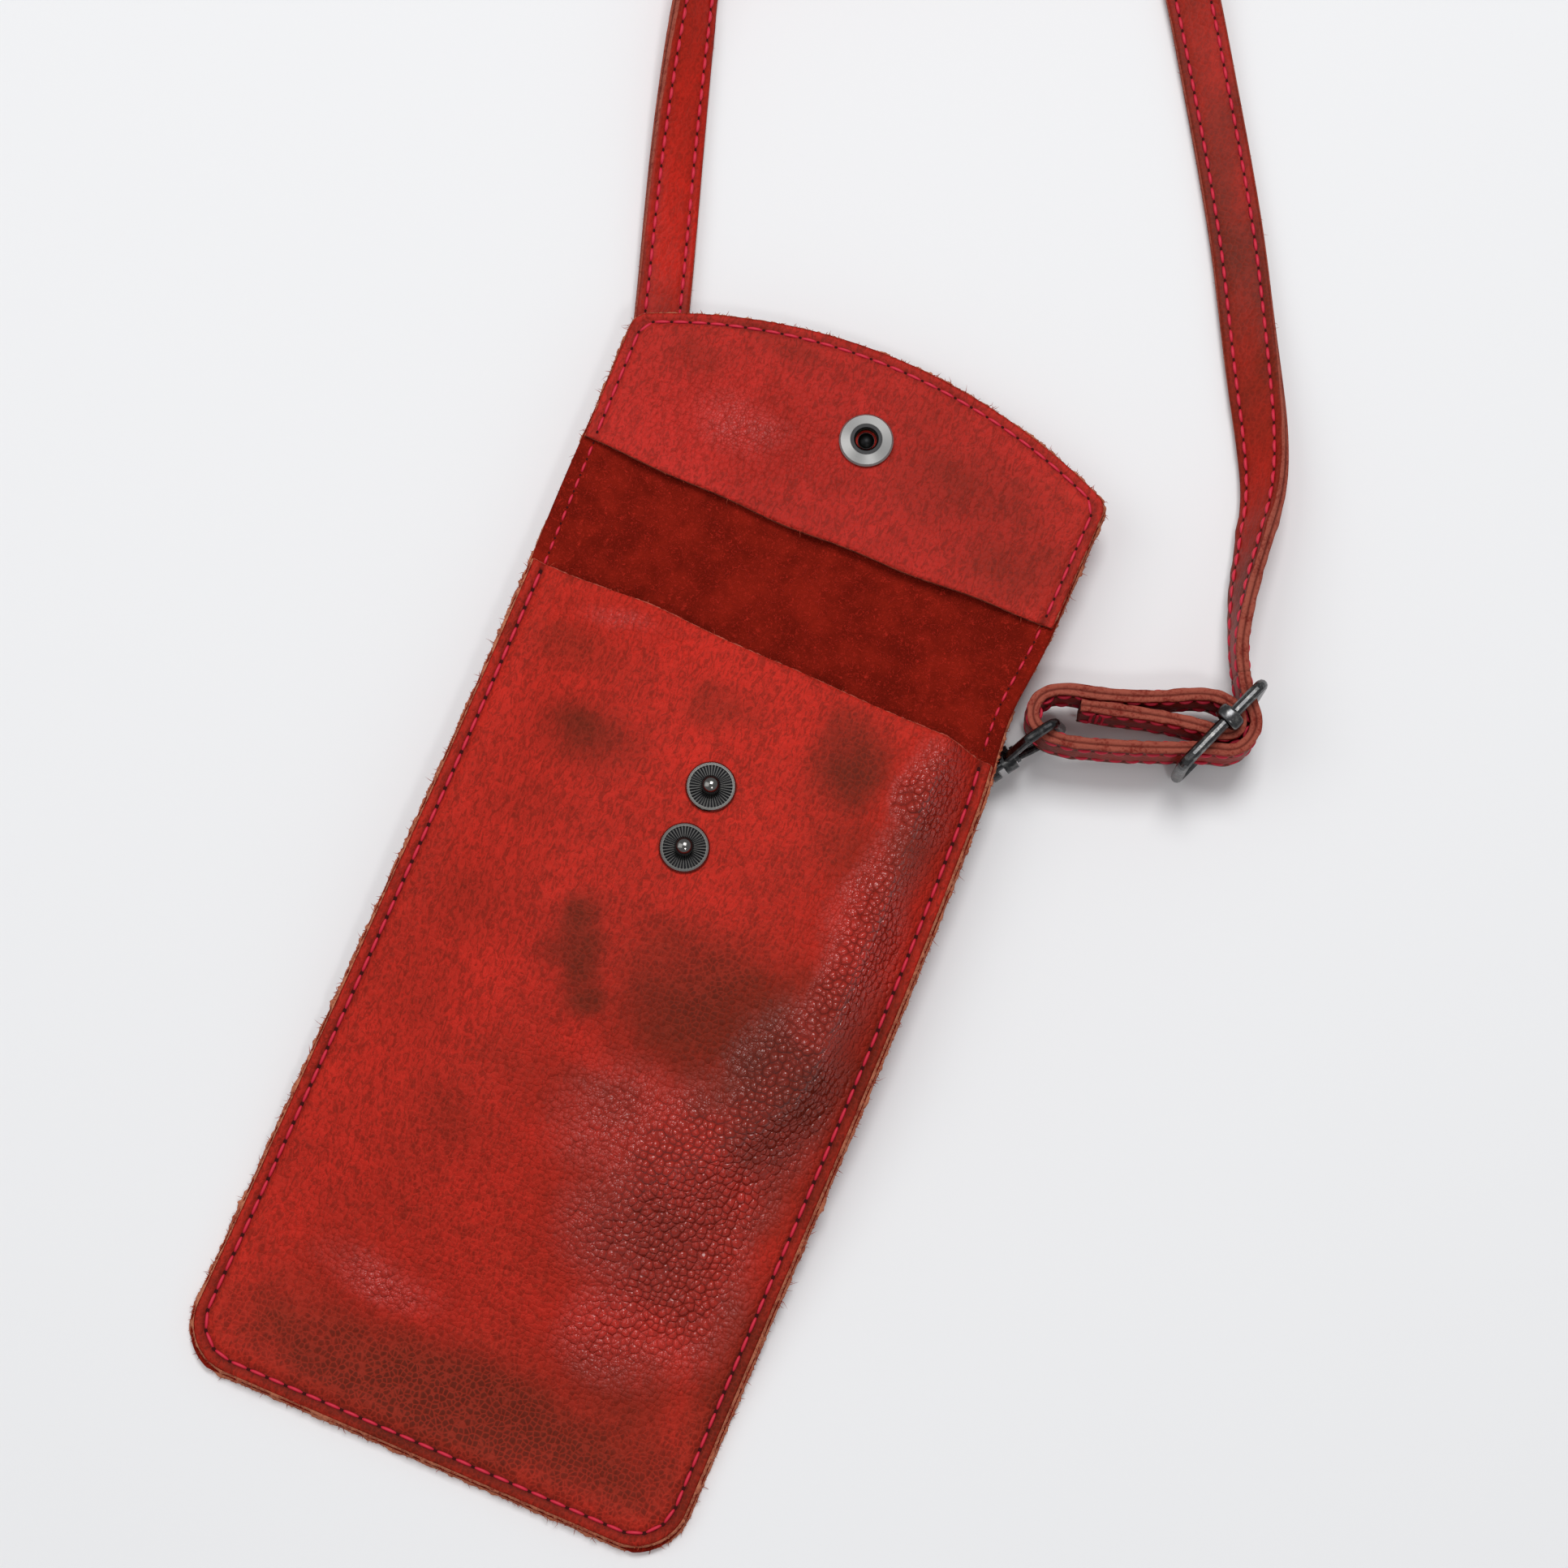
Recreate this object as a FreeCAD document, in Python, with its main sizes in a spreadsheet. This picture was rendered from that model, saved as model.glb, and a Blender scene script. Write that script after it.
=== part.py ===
import FreeCAD, Part
import math
import os
import re
import Sketcher

doc = FreeCAD.newDocument("PhonePouch")
sheet = doc.addObject("Spreadsheet::Sheet", "Sizes")

# Sizes in millimetres and degrees.
# Lengths named "..._at" are measured up the pouch from its bottom edge.
SIZES = [
    ("bottom_width", "120"),
    ("mouth_width", "117"),
    ("flap_width", "120"),
    ("bottom_corner", "12"),
    ("mouth_at", "195"),
    ("fold_lift", "4.2"),
    ("flap_reach", "66.2"),
    ("flap_rise", "13.8"),
    ("facing_gap", "12.8"),
    ("facing_inset", "0.4"),
    ("leather", "1.8"),
    ("facing_leather", "1.4"),
    ("cavity_height", "10"),
    ("back_rise", "11.5"),
    ("ramp_start", "35"),
    ("ramp_clear", "74"),
    ("bend_radius", "200"),
    ("foot_left", "51"),
    ("plateau_left", "30"),
    ("foot_right", "52.5"),
    ("plateau_right", "43"),
    ("cut_margin", "5"),
    ("wire_sides", "12"),
    ("facet_turn", "15"),
    ("curve_steps", "3"),
    ("stud_drop", "33"),
    ("stud_spacing", "15.2"),
    ("snap_across", "3"),
    ("stud_height", "3.2"),
    ("stud_radius", "5.75"),
    ("stud_base", "0.8"),
    ("stud_rim", "0.9"),
    ("stud_dish", "0.35"),
    ("rib_height", "0.3"),
    ("rib_width", "0.3"),
    ("rib_count", "36"),
    ("neck_radius", "1.6"),
    ("ball_radius", "2.2"),
    ("ball_tip_radius", "1.5"),
    ("neck_height", "1.5"),
    ("ball_chamfer", "0.5"),
    ("rivet_radius", "1.3"),
    ("rivet_disc_radius", "4.25"),
    ("rivet_disc", "0.7"),
    ("snap_clearance", "0.6"),
    ("socket_radius", "6.35"),
    ("socket_thick", "1.6"),
    ("socket_lip", "0.5"),
    ("socket_round", "0.4"),
    ("socket_hole_radius", "2.5"),
    ("groove_radius", "3.1"),
    ("groove_floor", "0.5"),
    ("groove_width", "0.7"),
    ("spring_ring_radius", "2.78"),
    ("spring_wire_radius", "0.28"),
    ("cap_radius", "7"),
    ("cap_dome", "1.6"),
    ("cap_edge", "0.5"),
    ("cap_post_radius", "1.95"),
    ("strap_width", "13"),
    ("strap_thick", "3"),
    ("loop_height", "11.25"),
    ("coil_across", "-53.6"),
    ("coil_at", "452.4"),
    ("coil_turn", "22.94"),
    ("coil_height", "7.9"),
    ("coil_outer", "37"),
    ("coil_pitch", "6"),
    ("fold_back_radius", "5"),
    ("coil_lead", "23"),
    ("tie_width", "6"),
    ("tie_thick", "0.9"),
    ("tie_gap", "0.3"),
    ("slider_across", "104.3"),
    ("slider_at", "221.9"),
    ("slider_turn", "68.5"),
    ("slider_half", "13.2"),
    ("slider_wire_radius", "1.4"),
    ("slider_corner", "3"),
    ("slider_low", "2.3"),
    ("slider_high", "20.3"),
    ("slider_bar_offset", "2"),
    ("slider_bar_radius", "1.2"),
    ("knuckle_radius", "2.2"),
    ("knuckle_gap", "0.3"),
    ("knuckle_half", "1.7"),
    ("hook_across", "60.7"),
    ("hook_at", "195.7"),
    ("hook_height", "8.55"),
    ("hook_turn", "54.8"),
    ("hook_tilt", "12"),
    ("collar_radius", "3"),
    ("collar_bore", "1.6"),
    ("collar_start", "0.4"),
    ("collar_end", "3.4"),
    ("bow_wire_radius", "1.2"),
    ("bow_half", "8.9"),
    ("bow_shoulder", "9"),
    ("bow_reach", "16"),
    ("bow_foot", "2.2"),
    ("bow_corner", "2.4"),
    ("swivel_post_radius", "1.3"),
    ("swivel_head_start", "3.75"),
    ("swivel_head_end", "4.65"),
    ("swivel_head_radius", "2.1"),
    ("neck_disc_start", "-3.2"),
    ("neck_disc_end", "-1.2"),
    ("neck_disc_radius", "3"),
    ("block_start", "-7.6"),
    ("block_half", "2.3"),
    ("block_low", "-3.6"),
    ("block_high", "3.25"),
    ("slot_floor", "0.5"),
    ("slot_end", "-3.9"),
    ("slot_left", "-1"),
    ("slot_right", "1.75"),
    ("jaw_wire_radius", "1"),
    ("jaw_half", "2.8"),
    ("jaw_end", "-17.6"),
    ("nose_end", "-14.9"),
    ("gate_pivot", "-5.5"),
    ("gate_pivot_up", "2.2"),
    ("gate_tip", "-14.5"),
    ("gate_half", "0.65"),
    ("gate_low", "1.7"),
    ("gate_high", "3.2"),
    ("gate_eye_radius", "1"),
    ("pin_radius", "0.6"),
    ("pin_gap", "0.1"),
    ("gate_spring_radius", "0.86"),
    ("gate_spring_wire", "0.16"),
    ("gate_spring_pitch", "0.4"),
    ("gate_spring_turns", "1.5"),
    ("gate_spring_start", "0.98"),
    ("ring_wire_radius", "0.95"),
    ("ring_reach", "12"),
    ("ring_radius", "8"),
    ("ring_corner", "2"),
    ("ring_along", "-17.4"),
    ("tab_width", "12"),
    ("tab_leather", "1.4"),
    ("tab_layer_gap", "0.1"),
    ("tab_length", "24"),
    ("tab_bend", "8.3"),
    ("tab_loop_radius", "1.95"),
]

# Sizes that follow from others.
DERIVED = [
    ("flap_corner_at", "=mouth_at + flap_reach"),
    ("upper_stud_at", "=mouth_at - stud_drop"),
    ("ramp_end", "=mouth_at - ramp_clear"),
    ("half_length", "=(flap_corner_at + flap_rise) / 2"),
    ("hinge_one_at", "=mouth_at + fold_lift"),
    ("fold_length", "=cavity_height + leather + stud_height + snap_clearance + facing_leather"),
    ("hinge_two_at", "=hinge_one_at + fold_length"),
    ("facing_edge_at", "=hinge_two_at + facing_gap"),
    ("socket_at", "=2 * hinge_one_at + fold_length - upper_stud_at"),
    ("inner_face", "=back_rise + leather"),
    ("plateau_top", "=inner_face + cavity_height + leather"),
    ("facing_top", "=inner_face + facing_leather"),
]

for row, (alias, value) in enumerate(SIZES + DERIVED, 1):
    sheet.set("A%d" % row, alias)
    sheet.set("B%d" % row, value)
    sheet.setAlias("B%d" % row, alias)
doc.recompute()


def size(alias):
    """Value of one size."""
    return float(getattr(sheet, alias))


def bound(text):
    """Expression that names its sizes on the sheet."""
    return re.sub(r"[a-z_]+", lambda word: "Sizes." + word.group(0), text)


def spot(across, along, height):
    """Point of the shared frame, from the distance up the pouch."""
    return FreeCAD.Vector(across, along - size("half_length"), height)


def turned(angle):
    """Unit vector in the table's plane."""
    return FreeCAD.Vector(math.cos(math.radians(angle)), math.sin(math.radians(angle)), 0)


UP = FreeCAD.Vector(0, 0, 1)
ACROSS = FreeCAD.Vector(1, 0, 0)
ALONG = FreeCAD.Vector(0, 1, 0)
made = []


def piece(label, shape, placement=None):
    """Sub-part whose form is computed from the sheet."""
    thing = doc.addObject("Part::Feature", label)
    thing.Label = label
    thing.Shape = shape
    if placement:
        thing.Placement = placement
    made.append(thing)
    return thing


# Sketched bodies

def plane_of(body, role):
    """Origin plane or axis of a body."""
    return [item for item in body.Origin.OriginFeatures if item.Role == role][0]


def draw_polygon(sketch, corners):
    """Closed polygon whose corners are tied to the sheet."""
    places = [[float(sheet.evalExpression(bound(text))) for text in corner] for corner in corners]
    count = len(corners)
    for index in range(count):
        start = FreeCAD.Vector(*places[index], 0)
        end = FreeCAD.Vector(*places[(index + 1) % count], 0)
        sketch.addGeometry(Part.LineSegment(start, end), False)
    for index in range(count):
        sketch.addConstraint(Sketcher.Constraint("Coincident", index, 2, (index + 1) % count, 1))
    for index, corner in enumerate(corners):
        for text, value, kind, axis in zip(corner, places[index], ("DistanceX", "DistanceY"), (-2, -1)):
            if text == "0":
                sketch.addConstraint(Sketcher.Constraint("PointOnObject", index, 1, axis))
                continue
            number = sketch.addConstraint(Sketcher.Constraint(kind, -1, 1, index, 1, value))
            sketch.setExpression("Constraints[%d]" % number, bound(text))


def sketch_on(body, role, name, corners):
    """Sketch of one polygon on an origin plane of the body."""
    sketch = body.newObject("Sketcher::SketchObject", name)
    sketch.AttachmentSupport = [(plane_of(body, role), "")]
    sketch.MapMode = "FlatFace"
    draw_polygon(sketch, corners)
    return sketch


def turned_body(label, corners, across, along, height):
    """Body turned about the upright axis from half of its section."""
    body = doc.addObject("PartDesign::Body", label)
    body.Label = label
    sketch = sketch_on(body, "XZ_Plane", label + "_section", corners)
    turn = body.newObject("PartDesign::Revolution", label + "_turn")
    turn.Profile = sketch
    turn.ReferenceAxis = (sketch, ["V_Axis"])
    turn.Angle = 360
    sketch.Visibility = False
    for axis, text in zip("xyz", (across, along, height)):
        body.setExpression("Placement.Base." + axis, bound(text))
    made.append(body)
    return body


# Snap fastener

def stud(label, along):
    """Ribbed base, neck and ball of one snap stud."""
    rim_foot = "stud_base - stud_dish"
    ball_start = "stud_base + neck_height"
    body = turned_body(label, [
        ("0", "0"),
        ("stud_radius", "0"),
        ("stud_radius", "stud_base / 2"),
        ("stud_radius - stud_rim / 3", "stud_base"),
        ("stud_radius - stud_rim", "stud_base"),
        ("stud_radius - stud_rim", rim_foot),
        ("neck_radius", rim_foot),
        ("neck_radius", ball_start + " - ball_chamfer"),
        ("ball_radius", ball_start),
        ("ball_radius", "stud_height - ball_chamfer"),
        ("ball_tip_radius", "stud_height"),
        ("0", "stud_height"),
    ], "snap_across", along + " - half_length", "plateau_top")
    inner = "neck_radius + rib_width"
    outer = "stud_radius - stud_rim + rib_width"
    half = "rib_width / 2"
    sketch = sketch_on(body, "XY_Plane", label + "_rib_outline", [
        (inner, "-" + half), (outer, "-" + half), (outer, half), (inner, half)])
    rib = body.newObject("PartDesign::Pad", label + "_rib")
    rib.Profile = sketch
    rib.setExpression("Length", bound(rim_foot + " + rib_height"))
    sketch.Visibility = False
    ring = body.newObject("PartDesign::PolarPattern", label + "_ribs")
    ring.Originals = [rib]
    ring.Axis = (plane_of(body, "Z_Axis"), [""])
    ring.Angle = 360
    ring.setExpression("Occurrences", bound("rib_count"))
    body.Tip = ring


def stud_back(label, along):
    """Rivet disc inside the pouch, with its post through the leather."""
    turned_body(label, [
        ("0", "-leather - rivet_disc"),
        ("rivet_disc_radius - rivet_disc / 2", "-leather - rivet_disc"),
        ("rivet_disc_radius", "-leather - rivet_disc / 2"),
        ("rivet_disc_radius", "-leather"),
        ("rivet_radius", "-leather"),
        ("rivet_radius", "0"),
        ("0", "0"),
    ], "snap_across", along + " - half_length", "plateau_top")


LOWER_STUD = "upper_stud_at - stud_spacing"
stud("upper_stud", "upper_stud_at")
stud("lower_stud", LOWER_STUD)
stud_back("upper_stud_back", "upper_stud_at")
stud_back("lower_stud_back", LOWER_STUD)

turned_body("snap_socket", [
    ("socket_hole_radius", "0"),
    ("socket_radius", "0"),
    ("socket_radius", "socket_lip"),
    ("socket_radius - socket_round", "socket_lip + socket_round"),
    ("groove_radius + socket_lip", "socket_thick"),
    ("socket_hole_radius + socket_round", "socket_thick"),
    ("socket_hole_radius", "socket_thick - socket_round"),
    ("socket_hole_radius", "groove_floor + groove_width"),
    ("groove_radius", "groove_floor + groove_width"),
    ("groove_radius", "groove_floor"),
    ("socket_hole_radius", "groove_floor"),
], "snap_across", "socket_at - half_length", "facing_top")

wire = "spring_wire_radius"
corner = "spring_wire_radius * 0.7"
turned_body("socket_spring", [
    ("spring_ring_radius - " + wire, "0"),
    ("spring_ring_radius - " + corner, "-" + corner),
    ("spring_ring_radius", "-" + wire),
    ("spring_ring_radius + " + corner, "-" + corner),
    ("spring_ring_radius + " + wire, "0"),
    ("spring_ring_radius + " + corner, corner),
    ("spring_ring_radius", wire),
    ("spring_ring_radius - " + corner, corner),
], "snap_across", "socket_at - half_length", "facing_top + groove_floor + groove_width / 2")

turned_body("snap_cap", [
    ("0", "-cap_dome"),
    ("cap_radius / 2", "-cap_dome + cap_edge / 4"),
    ("cap_radius - cap_edge", "-cap_edge * 1.6"),
    ("cap_radius", "-cap_edge"),
    ("cap_radius", "0"),
    ("cap_post_radius", "0"),
    ("cap_post_radius", "leather + facing_leather"),
    ("0", "leather + facing_leather"),
], "snap_across", "socket_at - half_length", "back_rise")

# Leather of the pouch

RAMP = math.atan2(size("back_rise"), size("ramp_end") - size("ramp_start"))
BEND = size("bend_radius")
TANGENT = BEND * math.tan(RAMP / 2)
LOW_BEND = size("ramp_start") - TANGENT
HIGH_BEND = size("ramp_end") + TANGENT


def side_height(along, lift):
    """Height over the table of the side line, moved outward by lift."""
    if along <= LOW_BEND:
        return lift
    if along <= LOW_BEND + (BEND - lift) * math.sin(RAMP):
        return BEND - math.sqrt((BEND - lift) ** 2 - (along - LOW_BEND) ** 2)
    if along <= HIGH_BEND - (BEND + lift) * math.sin(RAMP):
        return (along - size("ramp_start")) * math.tan(RAMP) + lift / math.cos(RAMP)
    if along <= HIGH_BEND:
        return size("back_rise") - BEND + math.sqrt((BEND + lift) ** 2 - (along - HIGH_BEND) ** 2)
    return size("back_rise") + lift


def side_edges(lift, end):
    """Edges of the side line from the bottom edge to end, moved by lift."""
    low = [LOW_BEND + (BEND - lift) * math.sin(RAMP * share) for share in (0, 0.5, 1)]
    high = [HIGH_BEND - (BEND + lift) * math.sin(RAMP * share) for share in (1, 0.5, 0)]
    stops = [[0, low[0]], low, [low[2], high[0]], high, [high[2], end]]
    edges = []
    for stop in stops:
        places = [FreeCAD.Vector(0, along - size("half_length"), side_height(along, lift)) for along in stop]
        edges.append(Part.Arc(*places).toShape() if len(places) == 3 else Part.makeLine(*places))
    return edges


def side_band(low, high, end):
    """Sheet between two lifts of the side line, wider than the pouch."""
    lower = side_edges(low, end)
    upper = side_edges(high, end)
    first = Part.makeLine(lower[0].firstVertex().Point, upper[0].firstVertex().Point)
    last = Part.makeLine(lower[-1].lastVertex().Point, upper[-1].lastVertex().Point)
    face = Part.Face(Part.Wire(Part.__sortEdges__(lower + [last] + upper + [first])))
    width = size("bottom_width")
    face.translate(ACROSS * -width)
    return face.extrude(ACROSS * 2 * width)


def half_width(along):
    """Half of the leather's width at a distance up the pouch."""
    stops = [
        (0, size("bottom_width") / 2),
        (size("mouth_at"), size("mouth_width") / 2),
        (size("flap_corner_at"), size("flap_width") / 2),
    ]
    for (low, low_half), (high, high_half) in zip(stops, stops[1:]):
        if along <= high:
            return low_half + (high_half - low_half) * (along - low) / (high - low)
    return stops[-1][1]


def outline_prism(start, end, low, height):
    """Upright prism over the leather's outline between two distances."""
    stops = [start] + [along for along in (size("mouth_at"),) if start < along < end] + [end]
    right = [spot(half_width(along), along, low) for along in stops]
    left = [spot(-half_width(along), along, low) for along in reversed(stops)]
    solid = Part.Face(Part.makePolygon(right + left + right[:1])).extrude(UP * height)
    if start > 0:
        return solid
    corners = [edge for edge in solid.Edges if abs(edge.Vertexes[0].Y - edge.Vertexes[-1].Y) == 0
               and edge.BoundBox.ZLength > 0 and edge.BoundBox.YMax < spot(0, size("cut_margin"), 0).y]
    return solid.makeFillet(size("bottom_corner"), corners)


def rivet_hole(along, radius):
    """Upright hole through every layer at one place of the snap line."""
    tall = 2 * size("plateau_top")
    return Part.makeCylinder(radius, tall, spot(size("snap_across"), along, 0))


def panel(low, high, end):
    """Sheet of the pouch between two lifts of the side line."""
    tall = 2 * size("plateau_top")
    return side_band(low, high, end).common(outline_prism(0, end, -tall / 2, tall))


# The mound rises from the sewn margin: shares of the mouth's distance, and of the cavity's height.
MOUND_SHARES = [(0.08, 0.01), (0.13, 0.1), (0.18, 0.28), (0.235, 0.51), (0.295, 0.76), (0.355, 0.94), (0.42, 1)]
UPPER_BEND_SHARES = (1, 0.5, 0)


def rising_curve(foot, top, base, rise):
    """S-curve of two tangent arcs from a foot up to the flat top, as points."""
    radius = ((foot - top) ** 2 + rise ** 2) / (4 * rise)
    angle = 2 * math.atan2(rise, abs(foot - top))
    inward = math.copysign(radius, top - foot)
    steps = round(size("curve_steps"))
    turns = [angle * step / steps for step in range(steps + 1)]
    lower = [(foot + inward * math.sin(turn), base + radius * (1 - math.cos(turn))) for turn in turns]
    upper = [(foot + top - across, 2 * base + rise - height) for across, height in reversed(lower[:-1])]
    return lower + upper


def mound_section(along, share, drop):
    """Hat-shaped section across the pouch: two S-curves and a flat top."""
    base = side_height(along, 2 * size("leather")) - drop
    rise = size("cavity_height") * share
    low = base - size("leather") / 2
    right = rising_curve(size("foot_right"), size("plateau_right"), base, rise)
    left = rising_curve(-size("foot_left"), -size("plateau_left"), base, rise)
    outline = [(right[0][0], low)] + right + left[::-1] + [(left[0][0], low)]
    places = [spot(across, along, height) for across, height in outline]
    return Part.makePolygon(places + places[:1])


def mound(drop, overrun):
    """Bulge of the front panel, lowered by drop and run past the mouth."""
    sections = []
    for along_share, share in MOUND_SHARES:
        sections.append(mound_section(size("mouth_at") * along_share, share, drop))
    for share in UPPER_BEND_SHARES:
        sections.append(mound_section(HIGH_BEND - BEND * math.sin(RAMP * share), 1, drop))
    sections.append(mound_section(size("mouth_at") + overrun, 1, drop))
    return Part.makeLoft(sections, True, True)


leather = size("leather")
piece("back_panel", panel(0, leather, size("hinge_one_at")))

front = panel(leather, 2 * leather, size("mouth_at")).fuse(mound(0, 0))
front = front.cut(mound(leather, size("cut_margin")))
for stud_at in (size("upper_stud_at"), size("upper_stud_at") - size("stud_spacing")):
    front = front.cut(rivet_hole(stud_at, size("rivet_radius")))
piece("front_panel", front.removeSplitter())

piece("fold_strip", outline_prism(size("hinge_one_at"), size("hinge_two_at"), size("back_rise"), leather))


def flap_sheet(start, inset, low, thick):
    """Flap outline from start to its arc, drawn in by inset."""
    corner = size("flap_corner_at")
    rise = size("flap_rise")
    half = size("flap_width") / 2
    arc_points = [spot(half - inset, corner - inset, low), spot(0, corner + rise - inset, low),
                  spot(inset - half, corner - inset, low)]
    near = half_width(start) - inset
    edges = [
        Part.makeLine(spot(-near, start, low), spot(near, start, low)),
        Part.makeLine(spot(near, start, low), arc_points[0]),
        Part.Arc(*arc_points).toShape(),
        Part.makeLine(arc_points[2], spot(-near, start, low)),
    ]
    sheet_solid = Part.Face(Part.Wire(edges)).extrude(UP * thick)
    return sheet_solid.cut(rivet_hole(size("socket_at"), size("cap_post_radius")))


piece("flap", flap_sheet(size("hinge_two_at"), 0, size("back_rise"), leather))
piece("flap_facing", flap_sheet(size("facing_edge_at"), size("facing_inset"), size("inner_face"),
                                size("facing_leather")))


# Bent wire

def arc_stations(corner, into, out, radius):
    """Place, heading and share (-1 to 1) of points round one corner on a tangent arc."""
    turn = math.acos(max(-1, min(1, into.dot(out))))
    inward = (out - into * math.cos(turn)).normalize()
    start = corner - into * (radius * math.tan(turn / 2))
    steps = max(2, math.ceil(math.degrees(turn) / size("facet_turn")))
    stations = []
    for step in range(steps + 1):
        angle = turn * step / steps
        place = start + into * (radius * math.sin(angle)) + inward * (radius * (1 - math.cos(angle)))
        heading = into * math.cos(angle) + inward * math.sin(angle)
        stations.append((place, heading, 2 * step / steps - 1))
    return stations


def facet(corners):
    """Flat face through its corners."""
    return Part.Face(Part.makePolygon(corners + corners[:1]))


def faceted(rings, closed=False):
    """Solid of flat facets through matching rings of points."""
    following = rings[1:] + rings[:1] if closed else rings[1:]
    faces = []
    for ring, after in zip(rings, following):
        for index in range(len(ring)):
            corners = [ring[index - 1], ring[index], after[index], after[index - 1]]
            normal = (corners[1] - corners[0]).cross(corners[2] - corners[0]).normalize()
            if abs(normal.dot(corners[3] - corners[0])) < FLATNESS:
                faces.append(facet(corners))
            else:
                faces.append(facet(corners[:3]))
                faces.append(facet(corners[2:] + corners[:1]))
    if not closed:
        faces += [facet(rings[0]), facet(rings[-1])]
    solid = Part.Solid(Part.Shell(faces))
    if solid.Volume < 0:
        solid.reverse()
    return solid


FLATNESS = 1e-9


def round_ring(radius, place, heading, side):
    """Points round a wire, square to its heading; side is square to the heading."""
    rise = heading.cross(side)
    sides = round(size("wire_sides"))
    turns = [2 * math.pi * (step + 0.5) / sides for step in range(sides)]
    return [place + side * (radius * math.cos(turn)) + rise * (radius * math.sin(turn)) for turn in turns]


def bent_wire(points, corner_radii, wire_radius, side, closed=False):
    """Round wire along flat straight runs and tangent arcs; side is square to their plane."""
    count = len(points)
    headings = [(points[(index + 1) % count] - points[index]).normalize() for index in range(count)]
    stations = []
    for index in range(count):
        if not closed and index in (0, count - 1):
            stations.append((points[index], headings[min(index, count - 2)]))
            continue
        arc = arc_stations(points[index], headings[index - 1], headings[index], corner_radii[index])
        if stations and (arc[0][0] - stations[-1][0]).Length < FLATNESS:
            arc = arc[1:]
        stations += [(place, heading) for place, heading, share in arc]
    return faceted([round_ring(wire_radius, place, heading, side) for place, heading in stations], closed)


def in_plane(pairs):
    """Points of a local upright plane, from forward and up."""
    return [FreeCAD.Vector(forward, 0, up) for forward, up in pairs]


def rod(radius, start, end):
    """Round rod along the local forward axis."""
    return Part.makeCylinder(radius, end - start, ACROSS * start, ACROSS)


# Swivel hook, in its own frame: forward along the hook, up across it

hook_place = FreeCAD.Placement(
    spot(size("hook_across"), size("hook_at"), size("hook_height")),
    FreeCAD.Rotation(UP, size("hook_turn")) * FreeCAD.Rotation(ALONG, -size("hook_tilt")))

bow_half = size("bow_half")
bow = bent_wire(in_plane([
    (size("bow_foot"), size("bow_foot")),
    (size("bow_shoulder"), bow_half),
    (size("bow_reach"), bow_half),
    (size("bow_reach"), -bow_half),
    (size("bow_shoulder"), -bow_half),
    (size("bow_foot"), -size("bow_foot")),
]), [size("bow_corner")] * 6, size("bow_wire_radius"), ALONG)
collar = rod(size("collar_radius"), size("collar_start"), size("collar_end"))
eye = bow.fuse(collar)
eye = eye.cut(rod(size("collar_bore"), size("collar_start") - 1, size("collar_end") + 1))
piece("swivel_eye", eye, hook_place)

block_length = size("neck_disc_start") - size("block_start")
block = Part.makeBox(block_length, 2 * size("block_half"), size("block_high") - size("block_low"),
                     FreeCAD.Vector(size("block_start"), -size("block_half"), size("block_low")))
slot_margin = size("cut_margin")
slot = Part.makeBox(
    size("slot_end") - size("block_start") + slot_margin,
    size("slot_right") - size("slot_left"),
    size("block_high") - size("slot_floor") + slot_margin,
    FreeCAD.Vector(size("block_start") - slot_margin, size("slot_left"), size("slot_floor")))
pin_low = FreeCAD.Vector(size("gate_pivot"), -size("block_half"), size("gate_pivot_up"))
pin = Part.makeCylinder(size("pin_radius"), 2 * size("block_half"), pin_low, ALONG)
jaw_half = size("jaw_half")
jaw_back = size("jaw_end") - jaw_half
jaw = bent_wire(in_plane([
    (size("gate_pivot"), -jaw_half),
    (jaw_back, -jaw_half),
    (jaw_back, jaw_half),
    (size("nose_end"), jaw_half),
]), [jaw_half] * 4, size("jaw_wire_radius"), ALONG)
hook = block.cut(slot).cut(pin)
hook = hook.fuse(rod(size("neck_disc_radius"), size("neck_disc_start"), size("neck_disc_end")))
hook = hook.fuse(rod(size("swivel_post_radius"), size("neck_disc_end"), size("swivel_head_start")))
hook = hook.fuse(rod(size("swivel_head_radius"), size("swivel_head_start"), size("swivel_head_end")))
hook = hook.fuse(jaw)
piece("hook_body", hook, hook_place)
piece("gate_pin", pin, hook_place)

gate_half = size("gate_half")
gate_eye = Part.makeCylinder(size("gate_eye_radius"), 2 * gate_half,
                             FreeCAD.Vector(size("gate_pivot"), -gate_half, size("gate_pivot_up")), ALONG)
gate_bar = Part.makeBox(size("gate_pivot") - size("gate_tip"), 2 * gate_half,
                        size("gate_high") - size("gate_low"),
                        FreeCAD.Vector(size("gate_tip"), -gate_half, size("gate_low")))
gate_bore = Part.makeCylinder(size("pin_radius") + size("pin_gap"), 2 * size("block_half"), pin_low, ALONG)
piece("hook_gate", gate_bar.fuse(gate_eye).cut(gate_bore).removeSplitter(), hook_place)



def spring_rings():
    """Rings of points along the small helix of the gate's spring."""
    steps = math.ceil(360 * size("gate_spring_turns") / (2 * size("facet_turn")))
    rise = size("gate_spring_pitch") / (2 * math.pi)
    rings = []
    for step in range(steps + 1):
        angle = 2 * math.pi * size("gate_spring_turns") * step / steps
        outward = turned(math.degrees(angle))
        heading = (UP.cross(outward) * size("gate_spring_radius") + UP * rise).normalize()
        place = outward * size("gate_spring_radius") + UP * (rise * angle)
        rings.append(round_ring(size("gate_spring_wire"), place, heading, outward))
    return rings


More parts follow.
